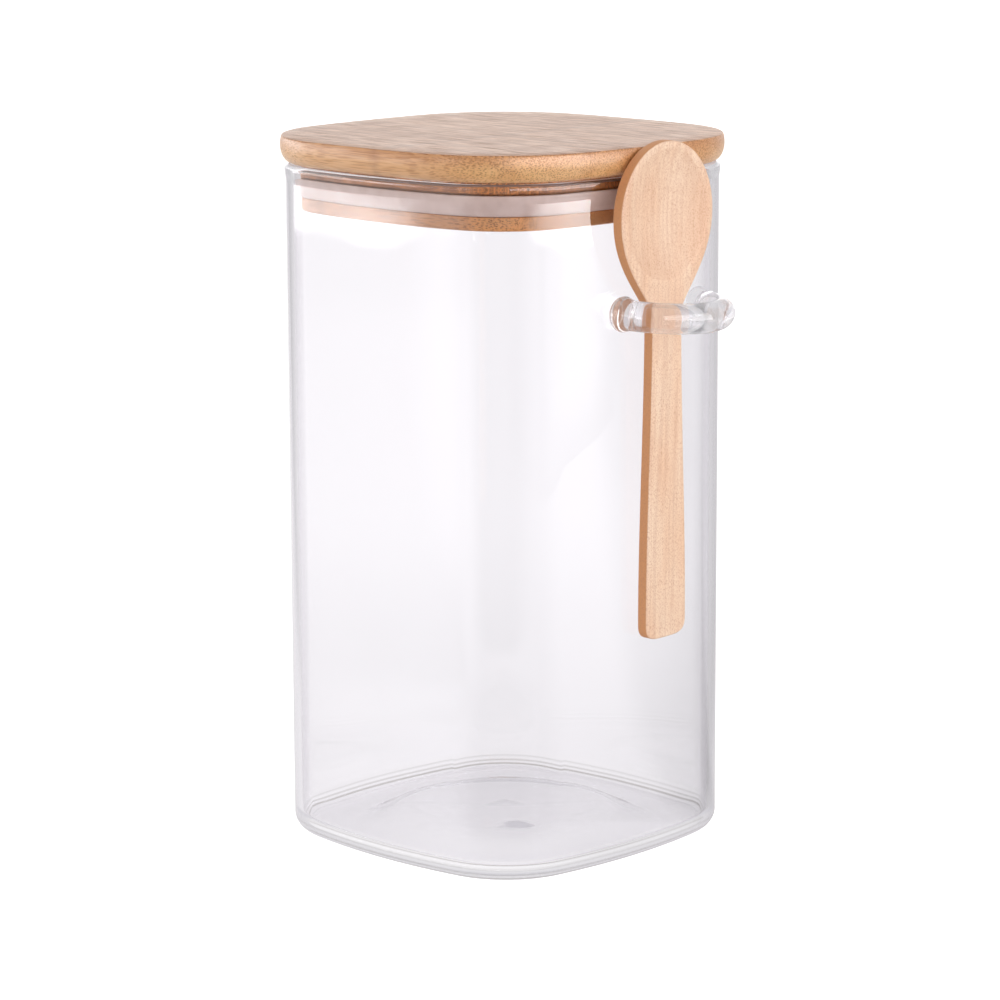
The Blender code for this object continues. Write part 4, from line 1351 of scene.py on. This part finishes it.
# %% The paper round the jar's foot
RING_POWER = 3.47                  # of the rounded square: 2 is a circle, and a high one a sharp square
LINE_SPACING = 0.0040
LINE_STRENGTH = 0.16
LINES_BEGIN = (0.040, 0.048)
# The painted shadow of the jar on the paper, close to its foot
FOOT_SHADE = (0.030, 0.048)        # rings between which the paper greys
FOOT_SHADE_ENDS = (0.062, 0.090)
# A thin line of painted shadow where the base turns under
CONTACT_LINE = 0.60                # how much light that dark line takes
CONTACT_INNER = (0.0447, 0.0453)
CONTACT_OUTER = (0.0455, 0.0461)
IN_FRONT = (-0.025, 0.0)           # soft edge between the lines in front and the plain paper behind


def ring_distance(bench, from_jar):
    """How far out a place lies, in rings of the jar's rounded square."""
    parts = bench.add("ShaderNodeSeparateXYZ", {0: from_jar}).outputs[:2]
    powers = [bench.calc("POWER", bench.calc("ABSOLUTE", part), RING_POWER) for part in parts]
    return bench.calc("POWER", bench.calc("ADD", *powers), 1 / RING_POWER)


def foot_light(bench, ring, behind):
    """The light of the paper close to the jar, greyed by painted shadow, with its fine lines in front and
    the painted shadow line under the base.
    """
    waves = bench.calc("SINE", bench.times(ring, 2 * math.pi / LINE_SPACING))
    lines = bench.times(waves, bench.ramp(ring, *LINES_BEGIN, 0.0, LINE_STRENGTH))
    in_front = bench.ramp(behind, *IN_FRONT, 1.0, 0.0)
    light = bench.calc("MULTIPLY_ADD", lines, in_front, bench.ramp(ring, *FOOT_SHADE, 0.98, 0.72))
    painted_contact_shadow = bench.times(bench.ramp(ring, *CONTACT_INNER), bench.ramp(ring, *CONTACT_OUTER, 1.0, 0.0))
    return bench.times(light, bench.calc("MULTIPLY_ADD", painted_contact_shadow, -CONTACT_LINE, 1.0))


print("lines at the foot every", LINE_SPACING * 1000, "mm")

# %% [markdown]
# The floor is one wide sheet a hair below the jar, so that glass and paper don't share a plane. Its
# material shows paper to the camera and to wood, and the cards to rays that glass has bent.

# %% Floor
FLOOR_SIZE = 12.0
FLOOR_GAP = 0.0001
PAPER_WHITE = (0.9, 0.9, 0.9, 1)
PAPER_ROUGHNESS = 0.8
PAPER_GLOW = 0.64
GLOW_TINT = (1.0, 0.99, 1.0, 1)
CLEAR_BEGINS = (0.06, 0.10)        # soft edge, in metres from the jar, from which glass is kept clear


def sheet(name, half_size, segments):
    """A flat square piece, level and with its middle at the origin."""
    shape = bmesh.new()
    bmesh.ops.create_grid(shape, x_segments=segments, y_segments=segments, size=half_size)
    mesh = bpy.data.meshes.new(name)
    shape.to_mesh(mesh)
    shape.free()
    return new_piece(name, mesh)


def floor_in_glass(bench):
    """What rays that glass has bent or mirrored find in place of the floor."""
    place = bench.add("ShaderNodeTexCoord").outputs["Object"]
    from_jar = bench.add("ShaderNodeVectorMath", {0: place, 1: AXIS}, operation="SUBTRACT").outputs[0]
    distance = bench.add("ShaderNodeVectorMath", {0: from_jar}, operation="LENGTH").outputs["Value"]
    sides = bench.add("ShaderNodeGroup", {"Direction": from_jar}, node_tree=side_light).outputs
    behind, aside = sides["Behind"], sides["Aside"]
    card = card_behind(bench, behind, aside)
    off_card = bench.ramp(card, 0.0, 1.0, 1.0, 0.0)
    beside = side_card_light(bench, sides, distance)
    light = bench.between(card, beside, card_light(bench, behind, aside, distance))
    ring = ring_distance(bench, from_jar)
    at_foot = bench.times(bench.ramp(ring, *FOOT_SHADE_ENDS, 1.0, 0.0), off_card)
    light = bench.between(at_foot, light, foot_light(bench, ring, behind))
    light = even_for_lost_rays(bench, light)
    return lift_for_clear_glass(bench, light, bench.times(bench.ramp(distance, *CLEAR_BEGINS), off_card))


def make_floor():
    floor = sheet("floor", FLOOR_SIZE / 2, 2)
    floor.location.z = -FLOOR_GAP
    material, bench, shader, surface = new_material("floor")
    to_camera = bench.add("ShaderNodeLightPath").outputs["Is Camera Ray"]
    bench.give(shader.inputs["Base Color"], PAPER_WHITE)
    bench.give(shader.inputs["Roughness"], PAPER_ROUGHNESS)
    bench.give(shader.inputs["Emission Color"], (1, 1, 1, 1))
    bench.give(shader.inputs["Emission Strength"], bench.times(to_camera, PAPER_GLOW))
    sockets = {"Color": GLOW_TINT, "Strength": floor_in_glass(bench)}
    glow = bench.add("ShaderNodeEmission", sockets).outputs[0]
    mixed = bench.add("ShaderNodeMixShader", {0: bent_rays(bench), 1: shader.outputs[0], 2: glow})
    bench.give(surface, mixed.outputs[0])
    floor.data.materials.append(material)
    print("floor:", len(material.node_tree.nodes), "nodes")


make_floor()

# %% [markdown]
# The world is white to the camera. For wood and paper it is a soft light that weakens upwards, and for glass
# it is the same sides as the floor has, with a pale ceiling over them. Rays that are mirrored outside the
# glass also find two brighter things: the wall behind the jar, low down, and the card on the left above the
# floor's edge.

# %% World
WALL_FILL = 1.08
CEILING_FILL = 0.46
CEILING = 0.72
BACK_WALL_LOW = 2.05
BACK_WALL_HIGH = 1.00
BACK_WALL_TURNS = (0.13, 0.25)     # how steeply up, from 0 level to 1 straight up
LEFT_GLOW = 2.4
LEFT_GLOW_SIDE = (-0.75, -0.50)
LEFT_GLOW_ENDS = (0.15, 0.35)
CEILING_BEGINS = (0.3, 0.8)
FILL_TURNS = (0.15, 0.85)


def world_in_glass(bench, direction, rise):
    """What rays that glass has bent or mirrored find above the floor."""
    sides = bench.add("ShaderNodeGroup", {"Direction": direction}, node_tree=side_light).outputs
    path = bench.add("ShaderNodeLightPath").outputs
    outside = bench.calc("LESS_THAN", path["Transmission Depth"], 0.5)
    back = bench.between(bench.ramp(rise, *BACK_WALL_TURNS), BACK_WALL_LOW, BACK_WALL_HIGH)
    back = bench.between(bench.ramp(sides["Behind"], 0.6, 0.95), 1.0, back)
    back = bench.between(outside, BACK_WALL_HIGH, back)
    left = bench.ramp(sides["Aside"], *LEFT_GLOW_SIDE, 1.0, 0.0)
    left = bench.times(left, bench.ramp(rise, *LEFT_GLOW_ENDS, 1.0, 0.0), outside)
    walls = bench.times(sides["Light"], back, bench.calc("MULTIPLY_ADD", left, LEFT_GLOW, 1.0))
    light = bench.between(bench.ramp(rise, *CEILING_BEGINS), walls, CEILING)
    light = even_for_lost_rays(bench, light)
    return lift_for_clear_glass(bench, light, bench.ramp(sides["Behind"], 0.5, 0.7, 1.0, 0.0))


def make_world():
    world = bpy.data.worlds.new("studio")
    world.use_nodes = True
    bench = Bench(world.node_tree)
    direction = bench.add("ShaderNodeTexCoord").outputs["Generated"]
    rise = bench.add("ShaderNodeSeparateXYZ", {0: direction}).outputs[2]
    to_camera = bench.add("ShaderNodeLightPath").outputs["Is Camera Ray"]
    plain = bench.between(to_camera, bench.ramp(rise, *FILL_TURNS, WALL_FILL, CEILING_FILL), 1.0)
    light = bench.between(bent_rays(bench), plain, world_in_glass(bench, direction, rise))
    background = world.node_tree.nodes["Background"]
    bench.give(background.inputs["Color"], (1, 1, 1, 1))
    bench.give(background.inputs["Strength"], light)
    bpy.context.scene.world = world
    print("world:", len(world.node_tree.nodes), "nodes")


make_world()

# %% [markdown]
# A tall soft box stands near the jar on the right, a little to the front. It is seen only where glass or
# varnish mirrors it. Its light rises from left to right and drops again at the right edge, which draws the
# tall pale stripe beside the jar's near corner. Above a slanting edge it is far brighter and wider. The
# glass mirrors that upper part in front of the lid's plug and gasket, so they look milky there.

# %% Soft box
BOX_BEARING = math.radians(44)     # from the camera's side of the jar towards the right
BOX_DISTANCE = 0.55
BOX_WIDTH = 0.88
BOX_HEIGHT = 0.50
STRIPE_LIGHT = 1.35
STRIPE_RISES = (-0.10, 0.32)       # across the box from its middle, in metres
STRIPE_FALLS = (0.34, 0.44)
BOX_LIGHT = 11.0
UPPER_EDGE = (0.100, 0.106)        # above the floor, at the middle of the box
UPPER_SLANT = 0.017                # how much lower that edge is at SLANT_ENDS
SLANT_ENDS = 0.37
EVEN_ABOVE = (0.125, 0.134)


def out_from_jar(bearing, distance, height):
    """A place at a bearing from the camera's side of the jar, counted towards the right."""
    turned = Vector((math.sin(bearing), -math.cos(bearing), 0)) * distance
    return AXIS + Matrix.Rotation(-CORNER_TURN, 3, "Z") @ turned + Vector((0, 0, height))


def box_light(bench, across, from_floor):
    """How bright the soft box is at a place on it."""
    ramp = bench.ramp
    stripe = bench.times(
        ramp(across, *STRIPE_RISES, 0.0, STRIPE_LIGHT),
        ramp(across, *STRIPE_FALLS, 1.0, 0.3),
        ramp(from_floor, 0.0, 0.04),
    )
    right = ramp(across, 0.10, 0.40, 0.0, 0.28 * BOX_LIGHT)
    upper = bench.calc("MULTIPLY_ADD", ramp(across, -0.30, 0.12), 0.72 * BOX_LIGHT, right)
    upper = bench.between(ramp(from_floor, *EVEN_ABOVE), upper, 0.54 * BOX_LIGHT)
    slant = ramp(across, 0.0, SLANT_ENDS, 0.0, UPPER_SLANT)
    high = ramp(bench.calc("ADD", from_floor, slant), *UPPER_EDGE)
    return bench.between(high, stripe, upper)


def make_soft_box():
    panel = sheet("soft_box", 0.5, 1)
    panel.data.transform(Matrix.Rotation(math.pi / 2, 4, "X"))
    panel.data.transform(Matrix.Diagonal((BOX_WIDTH, 1, BOX_HEIGHT, 1)))
    panel.location = out_from_jar(BOX_BEARING, BOX_DISTANCE, BOX_HEIGHT / 2)
    panel.rotation_euler = (0, 0, BOX_BEARING - CORNER_TURN)
    material, bench, shader, surface = new_material("soft_box")
    place = bench.add("ShaderNodeTexCoord").outputs["Object"]
    across, _, up = bench.add("ShaderNodeSeparateXYZ", {0: place}).outputs
    light = box_light(bench, across, bench.calc("ADD", up, BOX_HEIGHT / 2))
    bench.give(surface, bench.add("ShaderNodeEmission", {"Strength": light}).outputs[0])
    material.node_tree.nodes.remove(shader)
    panel.data.materials.append(material)
    panel.visible_camera = False
    panel.visible_diffuse = False
    panel.visible_transmission = False
    panel.visible_shadow = False
    print("soft box at", [round(v, 2) for v in panel.location])


make_soft_box()

# %% [markdown]
# Two area lamps light the wood and the floor: the key from the soft box's side, and a large fill from the
# left. Nothing mirrors them, because glass and varnish have the soft box and the sides of the studio for
# that. The plain Standard view shows colours as they were given, so that white paper stays white.

# %% Lamps
LAMP_AIM = Vector((0, 0, 0.1))
LAMPS = {
    "key": {"bearing": 66, "away": 0.62, "high": 0.34, "width": 0.28, "length": 0.45, "power": 0.80},
    "fill": {"bearing": -75, "away": 1.2, "high": 0.6, "width": 0.9, "length": 0.9, "power": 1.4},
}

for name, plan in LAMPS.items():
    data = bpy.data.lights.new(name, "AREA")
    data.shape = "RECTANGLE"
    data.size = plan["width"]
    data.size_y = plan["length"]
    data.energy = plan["power"]
    lamp = bpy.data.objects.new(name, data)
    lamp.location = out_from_jar(math.radians(plan["bearing"]), plan["away"], plan["high"])
    lamp.rotation_euler = (LAMP_AIM - lamp.location).to_track_quat("-Z", "Y").to_euler()
    lamp.visible_camera = False
    lamp.visible_glossy = False
    lamp.visible_transmission = False
    bpy.context.scene.collection.objects.link(lamp)
    print(name, "lamp at", [round(v, 2) for v in lamp.location])

bpy.context.scene.view_settings.view_transform = "Standard"

# %% [markdown]
